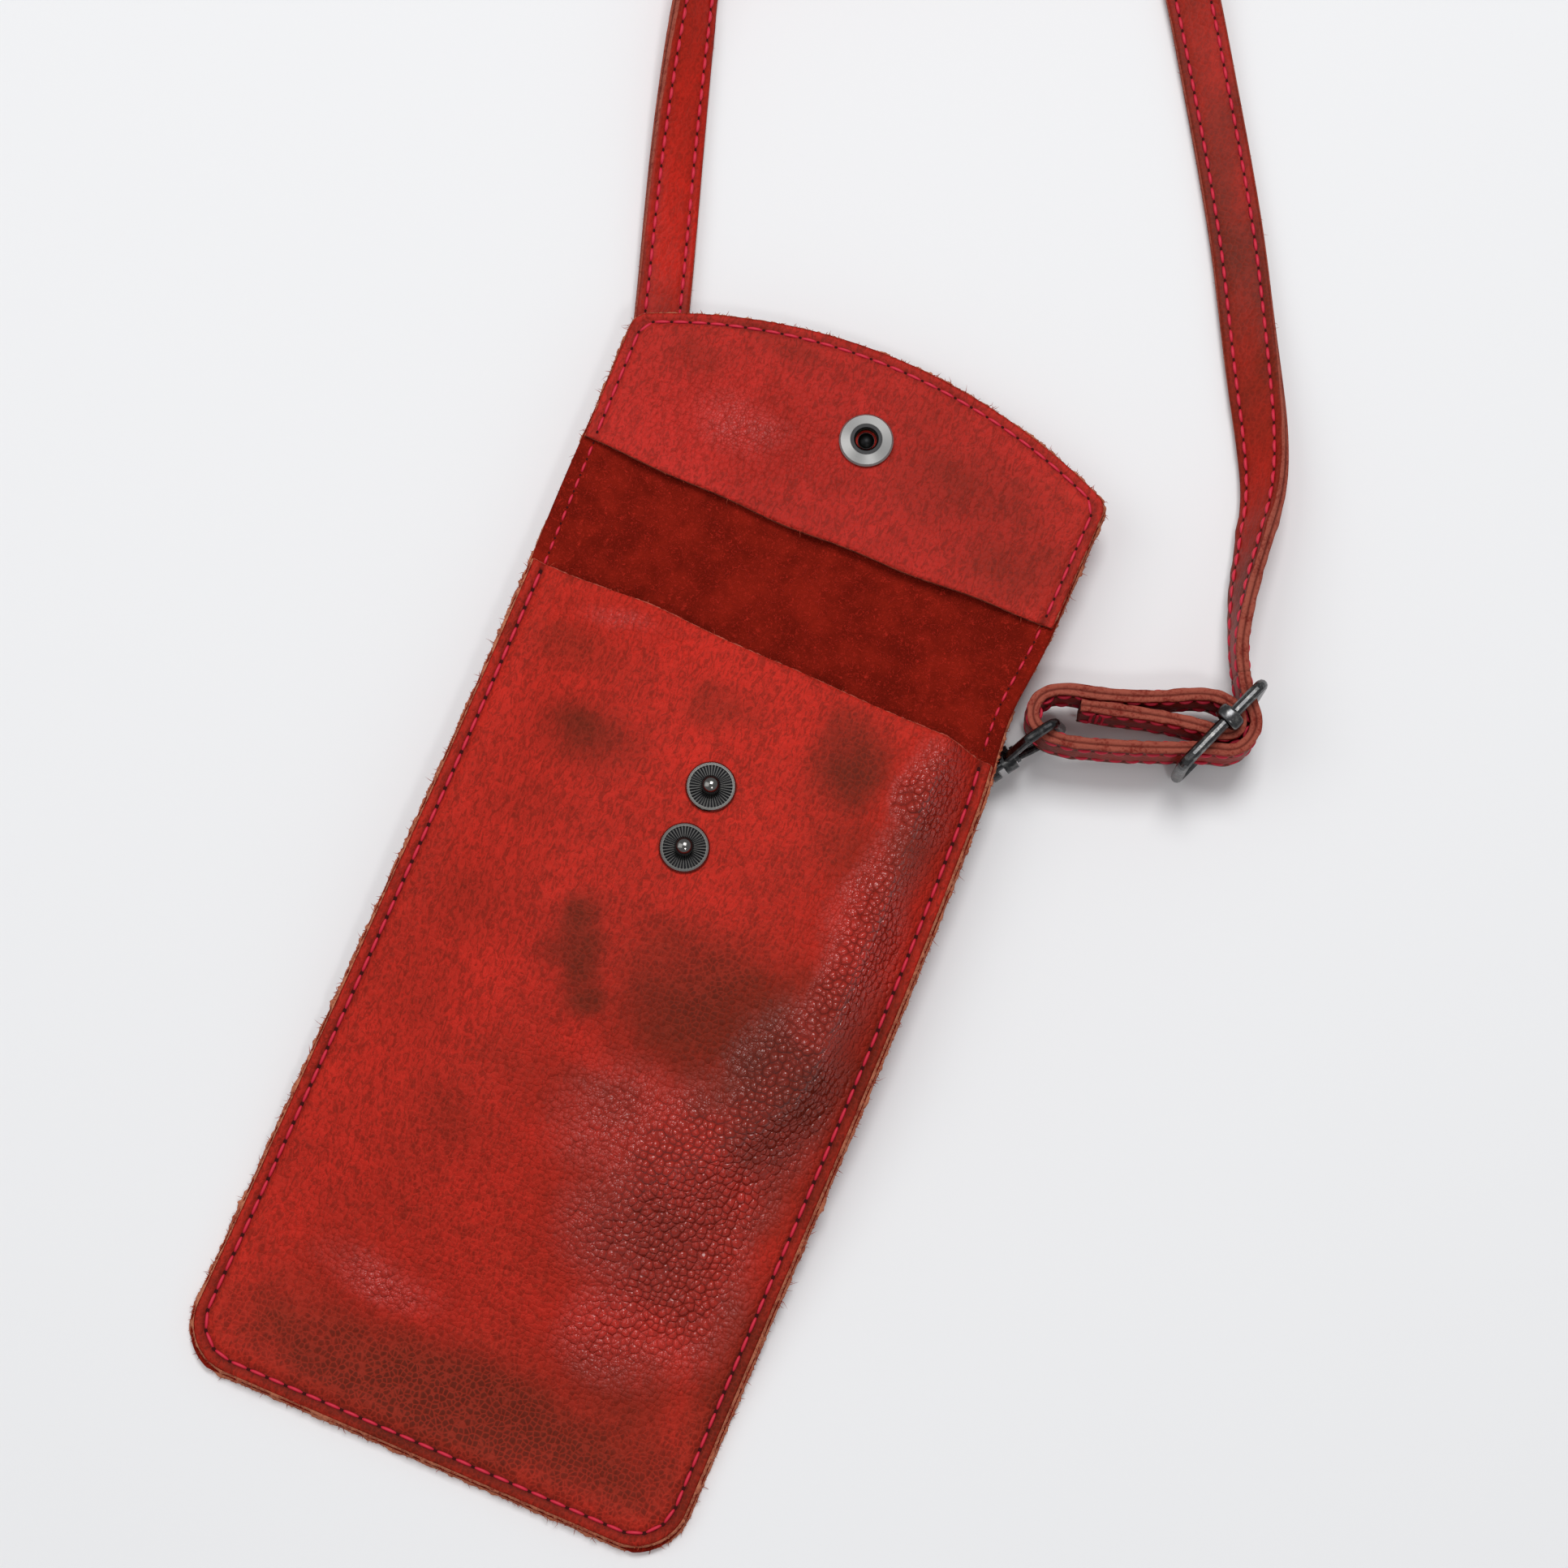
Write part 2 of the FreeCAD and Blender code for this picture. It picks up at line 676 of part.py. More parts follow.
spring = faceted(spring_rings())
spring_place = FreeCAD.Placement(
    FreeCAD.Vector(size("gate_pivot"), size("gate_spring_start"), size("gate_pivot_up")),
    FreeCAD.Rotation(ACROSS, -90))
piece("gate_spring", spring, hook_place.multiply(spring_place))

# D-ring and its tab behind the pouch

tilt = math.radians(size("hook_tilt"))
hook_heading = turned(size("hook_turn"))
ring_apex = spot(size("hook_across"), size("hook_at"), size("hook_height")) \
    + hook_heading * (size("ring_along") * math.cos(tilt)) + UP * (size("ring_along") * math.sin(tilt))
ring_place = FreeCAD.Placement(ring_apex - hook_heading * size("ring_reach"),
                               FreeCAD.Rotation(UP, size("hook_turn")))
ring_radius = size("ring_radius")
ring_reach = size("ring_reach")
ring_corners = [FreeCAD.Vector(0, -ring_radius, 0), FreeCAD.Vector(ring_reach, -ring_radius, 0),
                FreeCAD.Vector(ring_reach, ring_radius, 0), FreeCAD.Vector(0, ring_radius, 0)]
ring_rounds = [size("ring_corner"), ring_radius, ring_radius, size("ring_corner")]
piece("d_ring", bent_wire(ring_corners, ring_rounds, size("ring_wire_radius"), UP, True), ring_place)


# Straps: rectangles along rounded routes

def route_stations(points, share):
    """Stations (place, heading, lean) along straight runs and tangent arcs, and the least radius."""
    places = [FreeCAD.Vector(*point[:3]) for point in points]
    leans = [point[3] for point in points]
    runs = [(end - start).Length for start, end in zip(places, places[1:])]
    stations = [(places[0], (places[1] - places[0]).normalize(), leans[0])]
    corners = []
    least = None
    for index in range(1, len(points) - 1):
        into = (places[index] - places[index - 1]).normalize()
        out = (places[index + 1] - places[index]).normalize()
        turn = math.acos(max(-1, min(1, into.dot(out))))
        cut = share * min(runs[index - 1], runs[index])
        radius = cut / math.tan(turn / 2)
        least = radius if least is None else min(least, radius)
        arc = arc_stations(places[index], into, out, radius)
        corners.append(len(stations) + len(arc) - 1)
        for place, heading, part in arc:
            other = index + (1 if part > 0 else -1)
            run = runs[index] if part > 0 else runs[index - 1]
            lean = leans[index] + (leans[other] - leans[index]) * abs(part) * cut / run
            stations.append((place, heading, lean))
    stations.append((places[-1], (places[-1] - places[-2]).normalize(), leans[-1]))
    return stations, corners, least


def band_section(place, heading, lean, width, thick, side=None):
    """Corners of a strap's section; lean turns its width from level to upright."""
    level = side or FreeCAD.Vector(-heading.y, heading.x, 0).normalize()
    rise = heading.cross(level)
    wide = (level * math.cos(math.radians(lean)) + rise * math.sin(math.radians(lean))) * (width / 2)
    deep = heading.cross(wide).normalize() * (thick / 2)
    return [place + wide + deep, place - wide + deep, place - wide - deep, place + wide - deep]


def band(label, stations, width, thick, side=None):
    """Solid strap through its stations; its volume is compared with section times length."""
    solid = faceted([band_section(*station, width, thick, side) for station in stations])
    length = sum((b[0] - a[0]).Length for a, b in zip(stations, stations[1:]))
    print("%s: length %.1f, volume share %.3f" % (label, length, solid.Volume / (length * width * thick)))
    return solid


ROUND_SHARE = 0.45
tab_drop = ring_place.Base.z
tab_leather = size("tab_leather")
upper_layer = size("back_rise") - tab_leather / 2 - tab_drop
lower_layer = upper_layer - tab_leather - size("tab_layer_gap")
loop_out = size("tab_loop_radius") / math.cos(math.radians(30))
tab_route = [(-size("tab_length"), 0, upper_layer, 0), (-size("tab_bend"), 0, upper_layer, 0)]
for loop_angle in (75, 15, -45, -105):
    loop_spot = turned(loop_angle) * loop_out
    tab_route.append((loop_spot.x, 0, loop_spot.y, 0))
tab_route += [(-size("tab_bend"), 0, lower_layer, 0), (-size("tab_length"), 0, lower_layer, 0)]
tab_stations, tab_corners, tab_least = route_stations(tab_route, ROUND_SHARE)
piece("ring_tab", band("ring_tab", tab_stations, size("tab_width"), tab_leather, ALONG), ring_place)

# Shoulder strap: left end sewn behind the pouch, coil, right run, loop through hook and slider

coil_place = FreeCAD.Placement(spot(size("coil_across"), size("coil_at"), size("coil_height")),
                               FreeCAD.Rotation(UP, size("coil_turn")))


def coil_point(across, along):
    """Point of the coil's own plane in the shared frame."""
    return coil_place.multVec(FreeCAD.Vector(across, along, 0))


outer = size("coil_outer")
pitch = size("coil_pitch")
left_gate = coil_point(outer - pitch, 0)
left_lead = coil_point(outer - pitch, -size("coil_lead"))
right_gate = coil_point(outer, 0)
right_lead = coil_point(outer, -size("coil_lead"))
sewn = size("back_rise") - size("strap_thick") / 2

# Route points: across, up the pouch, height, lean.
LEFT_ROUTE = [
    (-35, 172, sewn, 0),
    (-37, 190, sewn, 0),
    (-41, 215, 7.8, 2),
    (-47.5, 242, 4.4, 5),
    (-55.5, 268.5, 3.2, 10),
    (-62, 288, 3.6, 16),
    (-69.5, 311, 4.6, 28),
    (-77.5, 338, 6.0, 45),
    (-82.8, 358.7, 6.8, 62),
    (-75.9, 376.8, 7.4, 80),
    (-53.1, 389.7, 7.8, 90),
    (-26.9, 399.7, 7.9, 90),
    (-13.2, 418.5, 7.9, 90),
]
RIGHT_ROUTE = [
    (4, 426.9, 6.9, 58),
    (20.2, 407.7, 4.6, 26),
    (32.3, 390.2, 2.8, 8),
    (44, 371.5, 2.1, 4),
    (54.5, 354.5, 2.0, 3),
    (65, 336.7, 2.2, 5),
    (72.7, 322, 2.7, 9),
    (80.3, 307.5, 3.9, 20),
    (88, 293, 5.5, 36),
    (93.3, 280.5, 7.0, 52),
    (95.3, 268, 8.6, 64),
    (97.2, 256, 10.0, 74),
    (99.6, 247, 10.9, 84),
    (101.8, 240.2, 11.25, 90),
]
LOOP_ROUTE = [
    (106.9, 231), (112.2, 225.7), (110.5, 218), (103, 216), (93, 211.6), (82, 207.5), (70.6, 204),
    (63.9, 205.6), (62.3, 211.6), (66.7, 216), (77, 218.3), (88.5, 222.6), (97, 227.3),
    (102.6, 228.4), (107.2, 226.6), (108.5, 222.9), (105.9, 220.2), (101.5, 220.4), (97, 219.8),
    (91, 218.7), (82.5, 216.6), (72.8, 213.9),
]


def placed(route):
    """Route in the shared frame."""
    return [tuple(spot(*point[:3])) + (point[3],) for point in route]


strap_width = size("strap_width")
strap_thick = size("strap_thick")
left_points = placed(LEFT_ROUTE) + [tuple(left_lead) + (90,), tuple(left_gate) + (90,)]
left_stations, left_corners, left_least = route_stations(left_points, ROUND_SHARE)
piece("strap_left", band("strap_left", left_stations, strap_width, strap_thick))

loop_height = size("loop_height")
right_points = [tuple(right_gate) + (90,), tuple(right_lead) + (80,)] + placed(RIGHT_ROUTE)
split_corner = len(right_points) - 2
right_points += placed([point + (loop_height, 90) for point in LOOP_ROUTE])
right_stations, right_corners, right_least = route_stations(right_points, ROUND_SHARE)
split = right_corners[split_corner]
piece("strap_right", band("strap_right", right_stations[:split + 1], strap_width, strap_thick))
piece("strap_loop", band("strap_loop", right_stations[split:], strap_width, strap_thick))
print("least radii: left %.1f, right and loop %.1f, tab %.1f" % (left_least, right_least, tab_least))


def coil_arcs():
    """Half circles of the doubled strap: centre across, radius, first and last angle."""
    step = pitch
    inner = outer - 5 * pitch + 2 * size("fold_back_radius")
    inner_centre = outer - 3 * pitch - inner
    fold_centre = inner_centre - inner - size("fold_back_radius")
    return [
        (0, outer - step, 0, 180),
        (-step, outer - 2 * step, 180, 360),
        (inner_centre, inner, 0, 180),
        (fold_centre, size("fold_back_radius"), 0, -180),
        (0, outer - 2 * step, 180, 0),
        (-step, outer - step, 360, 180),
        (0, outer, 180, 0),
    ]


def coil_side(offset):
    """Points of one face of the coiled strap."""
    steps = round(180 / size("facet_turn"))
    places = []
    for centre, radius, first, last in coil_arcs():
        grown = radius - offset if last > first else radius + offset
        shift = ACROSS * centre - UP * (strap_width / 2)
        places += [turned(first + (last - first) * step / steps) * grown + shift for step in range(steps)]
    places.append(turned(last) * grown + shift)
    return places


def coil_gap():
    """Least distance between neighbouring windings, measured on points of the path."""
    places = []
    for centre, radius, first, last in coil_arcs():
        steps = 60
        places += [turned(first + (last - first) * k / steps) * radius + ACROSS * centre for k in range(steps)]
    reach = 2 * math.pi * size("fold_back_radius")
    far = [0]
    for before, after in zip(places, places[1:]):
        far.append(far[-1] + (after - before).Length)
    return min((places[i] - places[k]).Length for i in range(0, len(places), 3)
               for k in range(i + 1, len(places)) if far[k] - far[i] > reach) - strap_thick


coil_outline = coil_side(strap_thick / 2) + coil_side(-strap_thick / 2)[::-1]
coil = facet(coil_outline).extrude(UP * strap_width)
piece("strap_coil", coil, coil_place)
coil_length = sum(math.pi * radius for centre, radius, first, last in coil_arcs())
print("strap_coil: length %.1f, gap %.2f, volume share %.3f" % (
    coil_length, coil_gap(), coil.Volume / (coil_length * strap_width * strap_thick)))

# Tie round the windings on the far side of the coil

inner_arc = coil_arcs()[2]
inner_face = inner_arc[1] - strap_thick / 2
tie_low = math.sqrt(inner_face ** 2 - (abs(inner_arc[0]) + size("tie_width") / 2) ** 2) - size("tie_gap")
tie_high = outer + strap_thick / 2 + size("tie_gap")
tie_tall = strap_width + 2 * size("tie_gap")
tie_wall = size("tie_thick")
tie_hole = Part.makeBox(size("tie_width"), tie_high - tie_low, tie_tall,
                        FreeCAD.Vector(-size("tie_width") / 2, tie_low, -tie_tall / 2))
tie_block = Part.makeBox(size("tie_width"), tie_high - tie_low + 2 * tie_wall, tie_tall + 2 * tie_wall,
                         FreeCAD.Vector(-size("tie_width") / 2, tie_low - tie_wall, -tie_tall / 2 - tie_wall))
piece("strap_tie", tie_block.cut(tie_hole), coil_place)

# Slider: wire frame on edge and its sliding bar

slider_place = FreeCAD.Placement(spot(size("slider_across"), size("slider_at"), 0),
                                 FreeCAD.Rotation(UP, size("slider_turn")))
slider_half = size("slider_half")
slider_low = size("slider_low")
slider_high = size("slider_high")
piece("slider_frame", bent_wire(in_plane([
    (-slider_half, slider_low), (slider_half, slider_low),
    (slider_half, slider_high), (-slider_half, slider_high),
]), [size("slider_corner")] * 4, size("slider_wire_radius"), ALONG, True), slider_place)

bar_at = size("slider_bar_offset")
bar = Part.makeCylinder(size("slider_bar_radius"), slider_high - slider_low, FreeCAD.Vector(bar_at, 0, slider_low))
for knuckle_height in (slider_low, slider_high):
    knuckle = rod(size("knuckle_radius"), bar_at - size("knuckle_half"), bar_at + size("knuckle_half"))
    knuckle.translate(UP * knuckle_height)
    bar = bar.fuse(knuckle)
for knuckle_height in (slider_low, slider_high):
    bore = rod(size("slider_wire_radius") + size("knuckle_gap"), bar_at - size("slider_half"), slider_half)
    bore.translate(UP * knuckle_height)
    bar = bar.cut(bore)
piece("slider_bar", bar, slider_place)

# Checks and export

doc.recompute()
for thing in doc.Objects:
    if "Invalid" in thing.State or "Error" in thing.State:
        raise RuntimeError("%s does not compute" % thing.Label)
for thing in made:
    if thing.Shape.isNull() or not thing.Shape.isValid():
        raise RuntimeError("%s has no valid shape" % thing.Label)
os.makedirs("parts", exist_ok=True)
for thing in made:
    box = thing.Shape.BoundBox
    print("%-16s solids %d volume %9.2f  x %.1f..%.1f y %.1f..%.1f z %.2f..%.2f" % (
        thing.Label, len(thing.Shape.Solids), thing.Shape.Volume,
        box.XMin, box.XMax, box.YMin, box.YMax, box.ZMin, box.ZMax))
    thing.Shape.exportStep("parts/%s.step" % thing.Label)
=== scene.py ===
import math
import bpy
import numpy as np
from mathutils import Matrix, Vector


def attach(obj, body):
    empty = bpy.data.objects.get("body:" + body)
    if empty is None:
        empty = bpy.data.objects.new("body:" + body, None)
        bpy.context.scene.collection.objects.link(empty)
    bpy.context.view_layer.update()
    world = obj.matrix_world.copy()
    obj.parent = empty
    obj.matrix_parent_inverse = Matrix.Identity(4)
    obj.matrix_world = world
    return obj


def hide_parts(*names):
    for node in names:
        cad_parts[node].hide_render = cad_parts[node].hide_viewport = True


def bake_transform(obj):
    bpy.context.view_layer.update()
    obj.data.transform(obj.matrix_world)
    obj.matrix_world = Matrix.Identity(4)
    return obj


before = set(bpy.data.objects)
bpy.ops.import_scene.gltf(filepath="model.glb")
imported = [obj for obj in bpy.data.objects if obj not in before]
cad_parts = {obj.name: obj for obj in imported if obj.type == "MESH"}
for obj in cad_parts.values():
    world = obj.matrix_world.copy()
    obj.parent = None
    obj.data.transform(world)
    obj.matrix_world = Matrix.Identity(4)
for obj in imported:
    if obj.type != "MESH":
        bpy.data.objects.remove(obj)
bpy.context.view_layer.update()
MM = 0.001

# Sizes of the pouch in millimetres, measured up from its bottom edge
HALF_LENGTH = 137.5
MOUTH, HINGE_ONE, HINGE_TWO, FACING_EDGE = 195.0, 199.2, 216.2, 229.0
FLAP_CORNER, FLAP_RISE, FLAP_ROUND = 261.2, 13.8, 2.5
FOLD_MIDDLE = (HINGE_ONE + HINGE_TWO) / 2
BOTTOM_HALF, MOUTH_HALF, FLAP_HALF = 60.0, 58.5, 60.0
LEATHER, FACING_LEATHER, BACK_RISE = 1.8, 1.4, 11.5
RAMP_START, RAMP_END, BEND, CORNER = 35.0, 121.0, 200.0, 12.0
SEAM, BACK_PROUD, LAYER_GAP, FACING_INSET = 2.7, 0.7, 0.02, 0.3
SNAP_ACROSS, UPPER_STUD, LOWER_STUD, SOCKET = 3.0, 162.0, 146.8, 253.4
DENT_DEEP, DENT_REACH = 0.4, 8.0
STRAP_WIDTH, STRAP_THICK, STRAP_SEAM = 13.0, 3.0, 4.1

# How the leather lies: bowed sideways, drawn in beside the strap's loop, pressed in over the hook
BOW_LEAST, BOW_MORE, BOW_AT, BOW_REACH = 0.7, 1.7, 130.0, 75.0
DRAWN_IN, DRAWN_AT, DRAWN_REACH, DRAWN_FROM, DRAWN_OVER = 1.85, 206.0, 14.0, 35.0, 22.0
PRESSED_IN, PRESSED_AT, PRESSED_REACH = 1.0, (57.0, 192.0), (10.0, 13.0)
BULGE, SLACK = 10.0, 0.45


# Meshes

def row(points):
    """Pouch coordinates in millimetres to the shared frame in metres."""
    points = np.array(points, float)
    points[..., 1] -= HALF_LENGTH
    return points * MM


def sway(y):
    """Sideways bow of the pouch as it lies: a bell curve along its length."""
    return BOW_LEAST + BOW_MORE * hump(y, BOW_AT, BOW_REACH)


def settled(points):
    """Leather moved to where it lies: bowed sideways, and drawn in beside the strap's loop by a bell curve
    along the length times a ramp toward the right edge."""
    points = np.array(points, float)
    near_edge = np.clip((points[..., 0] - DRAWN_FROM) / DRAWN_OVER, 0, 1)
    beside = hump(points[..., 1], DRAWN_AT, DRAWN_REACH) * near_edge
    points[..., 0] += sway(points[..., 1]) - DRAWN_IN * beside
    return points


def mesh_object(name, verts, faces, materials, face_slots=None, marks=None):
    """Mesh object from points in pouch millimetres, with optional values stored on the points."""
    mesh = bpy.data.meshes.new(name)
    mesh.from_pydata(row(verts).tolist(), [], faces if isinstance(faces, list) else faces.tolist())
    for material in materials:
        mesh.materials.append(material)
    if face_slots is not None:
        mesh.polygons.foreach_set("material_index", np.asarray(face_slots, np.int32))
    mesh.polygons.foreach_set("use_smooth", np.ones(len(mesh.polygons), bool))
    for key, values in (marks or {}).items():
        stored = mesh.attributes.new(key, "FLOAT", "POINT")
        stored.data.foreach_set("value", np.asarray(values, np.float32).ravel())
    mesh.update()
    thing = bpy.data.objects.new(name, mesh)
    bpy.context.scene.collection.objects.link(thing)
    return thing


def grid_faces(rows, columns, start=0, close=False, flip=False):
    """Quads of a grid of points; close joins the last column to the first."""
    r = np.arange(rows - 1)[:, None]
    c = np.arange(columns if close else columns - 1)[None, :]
    n = (c + 1) % columns
    quads = np.stack([r * columns + c, r * columns + n, (r + 1) * columns + n, (r + 1) * columns + c], -1)
    quads = quads.reshape(-1, 4) + start
    return quads[:, ::-1] if flip else quads


def unit(vectors):
    """Vectors of length one."""
    return vectors / np.linalg.norm(vectors, axis=-1, keepdims=True)


def smooth(a, b, x):
    """Smooth step from 0 at a to 1 at b."""
    share = np.clip((x - a) / (b - a), 0, 1)
    return share * share * (3 - 2 * share)


def hump(value, at, reach):
    """Bell curve: 1 at a place, falling off over a reach."""
    return np.exp(-((value - at) / reach) ** 2)


def fade(distance, reach):
    """Exponential fall from 1 at an edge, over a reach."""
    return np.exp(-np.maximum(distance, 0) / reach)


def even_marks(count, burnish_and_shade):
    """The same leather marks on every point of a small piece."""
    zero = np.zeros(count)
    return {"burnish_and_shade": zero + burnish_and_shade, "coarse": zero, "seam": zero}


def spread(low, high, step):
    """Even places from low to high."""
    return np.linspace(low, high, max(2, int(round(abs(high - low) / step)) + 1))


def bumps(x, y, scale, seed, octaves=3):
    """Smooth unevenness of unit size: a sum of waves in seeded directions."""
    local = np.random.default_rng(seed)
    total = np.zeros(np.broadcast(x, y).shape)
    for octave in range(octaves):
        for wave in range(5):
            angle, phase = local.uniform(0, 2 * math.pi, 2)
            length = scale / 2 ** octave * local.uniform(0.7, 1.4)
            turn = (x * math.cos(angle) + y * math.sin(angle)) * 2 * math.pi / length
            total += np.sin(turn + phase) / 2 ** octave
    return total / 5


def wobble(count, step, length, seed):
    """Random values along a line, smooth between knots a length apart."""
    knots = np.random.default_rng(seed).normal(size=int(count * step / length) + 3)
    at = np.arange(count) * step / length
    low = at.astype(int)
    share = smooth(0, 1, at - low)
    return knots[low] * (1 - share) + knots[low + 1] * share


def along_line(values, pitch, columns=2):
    """Rows a pitch apart along the line in the first columns; the other columns follow."""
    values = np.asarray(values, float)
    far = np.concatenate([[0], np.cumsum(np.linalg.norm(np.diff(values[:, :columns], axis=0), axis=1))])
    at = np.linspace(0, far[-1], max(2, int(round(far[-1] / pitch)) + 1))
    return np.stack([np.interp(at, far, values[:, k]) for k in range(values.shape[1])], 1)


# Form of the pouch

RAMP = math.atan2(BACK_RISE, RAMP_END - RAMP_START)
LOW_BEND = RAMP_START - BEND * math.tan(RAMP / 2)
HIGH_BEND = RAMP_END + BEND * math.tan(RAMP / 2)


def side_height(y, lift):
    """Height of the side line moved outward: flat, arc, ramp, arc, level."""
    y = np.asarray(y, float)
    low = BEND - np.sqrt(np.maximum((BEND - lift) ** 2 - (y - LOW_BEND) ** 2, 0))
    ramp = (y - RAMP_START) * math.tan(RAMP) + lift / math.cos(RAMP)
    high = BACK_RISE - BEND + np.sqrt(np.maximum((BEND + lift) ** 2 - (y - HIGH_BEND) ** 2, 0))
    stops = [y <= LOW_BEND, y <= LOW_BEND + (BEND - lift) * math.sin(RAMP),
             y <= HIGH_BEND - (BEND + lift) * math.sin(RAMP), y <= HIGH_BEND]
    return np.select(stops, [np.full_like(y, lift), low, ramp, high], BACK_RISE + lift)


def half_width(y):
    """Half width of the leather, without the round corners."""
    return np.interp(y, [0, MOUTH, FLAP_CORNER], [BOTTOM_HALF, MOUTH_HALF, FLAP_HALF])


def corner_half(y, grow):
    """Half width with the round bottom corners, grown outward."""
    radius = CORNER + grow
    drop = np.clip(radius - (y + grow), 0, radius)
    return half_width(y) + grow - (radius - np.sqrt(radius ** 2 - drop ** 2))


def edge_distance(x, y):
    """Distance inward from the sides and bottom of the pouch."""
    side = half_width(y) - np.abs(x)
    corner = CORNER - np.hypot(CORNER - side, CORNER - y)
    return np.where((side < CORNER) & (y < CORNER), corner, np.minimum(side, y))


def dent(x, y, at):
    """Dent round a snap pressed into the leather: a round bell curve."""
    away = (x + sway(at) - SNAP_ACROSS) ** 2 + (y - at) ** 2
    return -DENT_DEEP * np.exp(-away / DENT_REACH ** 2)


def front_bulge(x, y):
    """Rise of the front over its flat lie: smooth steps up from the bottom and in from both sides, slack
    waves, slanting sine folds beside the seams, and dents at the studs."""
    slant = 0.1 * (x - 10) * smooth(20, 60, y) * smooth(110, 60, y)
    right_start = 46 - 34 * smooth(112, 56, y)
    body = BULGE * smooth(12, 80, y + slant) * smooth(-56, -22, x) * smooth(55.5, right_start, x)
    inward = edge_distance(x, y)
    slack = SLACK * bumps(x, y, 60, 3, 2) * smooth(4, 16, inward)
    right_folds = 0.5 * np.sin((y * 0.9 - x * 0.55) / 5.2) * hump(x, 47, 6) * smooth(110, 150, y)
    left_folds = 0.35 * np.sin((y * 0.8 + x * 0.35) / 7.0) * hump(x, -46, 8) * smooth(70, 130, y)
    dents = dent(x, y, UPPER_STUD) + dent(x, y, LOWER_STUD)
    return body + (slack + right_folds + left_folds) * smooth(3, 9, inward) + dents


def front_top(x, y):
    """Upper face of the front panel: the side line's height, the bulge, and across the margin a sewn groove,
    a roll on each side of it and a rounded rim, as bell curves and a fade of the distance from the edge."""
    d = edge_distance(x, y)
    margin = -0.6 * hump(d, SEAM, 1.0) + 0.25 * hump(d, 1.6, 1.0) + 0.35 * hump(d, SEAM + 3.2, 1.8)
    return side_height(y, 2 * LEATHER) + front_bulge(x, y) + margin - 0.5 * fade(d, 0.35)


def mouth_line(x):
    """Edge of the mouth: a slight slant, a shallow cosine dip and a small ripple."""
    return MOUTH + 0.25 - 0.033 * x - 0.8 * np.cos(x / MOUTH_HALF * math.pi / 2) + 0.15 * np.sin(x / 6.0)


def flap_arc(x, inset=0.0):
    """Far edge of the flap: the arc of a circle through its two corners and its crown."""
    radius = (FLAP_HALF ** 2 + FLAP_RISE ** 2) / (2 * FLAP_RISE)
    reach = np.minimum(np.abs(x), FLAP_HALF)
    return FLAP_CORNER + FLAP_RISE - radius + np.sqrt(radius ** 2 - reach ** 2) - inset


def round_corners(x, y, inset=0.0):
    """Pulls the two far corners of the flap in to quarter circles."""
    a = np.clip(FLAP_ROUND - (half_width(y) - inset - np.abs(x)), 0, None)
    b = np.clip(FLAP_ROUND - (flap_arc(x, inset) - y), 0, None)
    keep = np.where((a > 0) & (b > 0), np.maximum(a, b) / np.maximum(np.hypot(a, b), 1e-9), 1)
    return np.sign(x) * (np.abs(x) - a * (1 - keep)), y - b * (1 - keep)


def back_top(x, y):
    """Inner face of the back sheet: the side line's height, with low waves on the flap."""
    return side_height(y, LEATHER) + 0.2 * bumps(x, y, 70, 11, 1) * smooth(205, 240, y)


def back_bottom(x, y):
    """Outer face of the back sheet, pressed in by a bell curve where the hook turns under it."""
    pressed = hump(x, PRESSED_AT[0], PRESSED_REACH[0]) * hump(y, PRESSED_AT[1], PRESSED_REACH[1])
    return back_top(x, y) - LEATHER + PRESSED_IN * pressed


def facing_edge(x):
    """Free edge of the facing: it hangs a little toward the pouch in the middle."""
    return FACING_EDGE - 1.7 * np.cos(x / FLAP_HALF * math.pi / 2) + 0.25 * np.sin(x / 5.0)


def flap_distance(x, y):
    """Distance inward from the sides and the arc of the flap."""
    return np.minimum(half_width(y) - np.abs(x), flap_arc(x) - y)


def facing_top(x, y):
    """Face of the flap's facing: a sewn groove, a pressed rim, and a free edge raised in waves."""
    d = flap_distance(x, y)
    margin = -0.4 * hump(d, SEAM, 0.9) - 0.45 * fade(d, 0.4)
    loose = 1.1 * fade(y - facing_edge(x), 7) * smooth(57, 40, np.abs(x)) * (1 + 0.4 * np.sin(x / 13))
    uneven = 0.25 * bumps(x, y, 38, 5, 2)
    return back_top(x, y) + FACING_LEATHER + margin + loose + uneven + dent(x, y, SOCKET)


def pouch_line(inset, top_left, top_right):
    """Outline down the left side, round the bottom and up the right side, drawn in by inset."""
    turn = np.linspace(0, math.pi / 2, 24)
    down, up = spread(top_left, CORNER, 1.0), spread(CORNER, top_right, 1.0)
    left = np.column_stack([inset - half_width(down), down])
    reach = CORNER - inset
    half = half_width(CORNER) - CORNER
    low_left = np.column_stack([-half - reach * np.cos(turn), CORNER - reach * np.sin(turn)])
    low_right = np.column_stack([-low_left[::-1, 0], low_left[::-1, 1]])
    right = np.column_stack([half_width(up) - inset, up])
    return np.concatenate([left, low_left[1:], low_right, right[1:]])


def flap_line(inset, start):
    """Outline up the right side, along the arc and down the left side, drawn in by inset."""
    up = spread(start, FLAP_CORNER - inset, 0.8)
    x = np.linspace(FLAP_HALF - inset, inset - FLAP_HALF, 160)
    right = np.column_stack([half_width(up) - inset, up])
    arc = np.column_stack([x, flap_arc(x, inset)])
    left = np.column_stack([-right[::-1, 0], right[::-1, 1]])
    line = np.concatenate([right, arc[1:-1], left])
    return np.column_stack(round_corners(line[:, 0], line[:, 1], inset))


# Shading

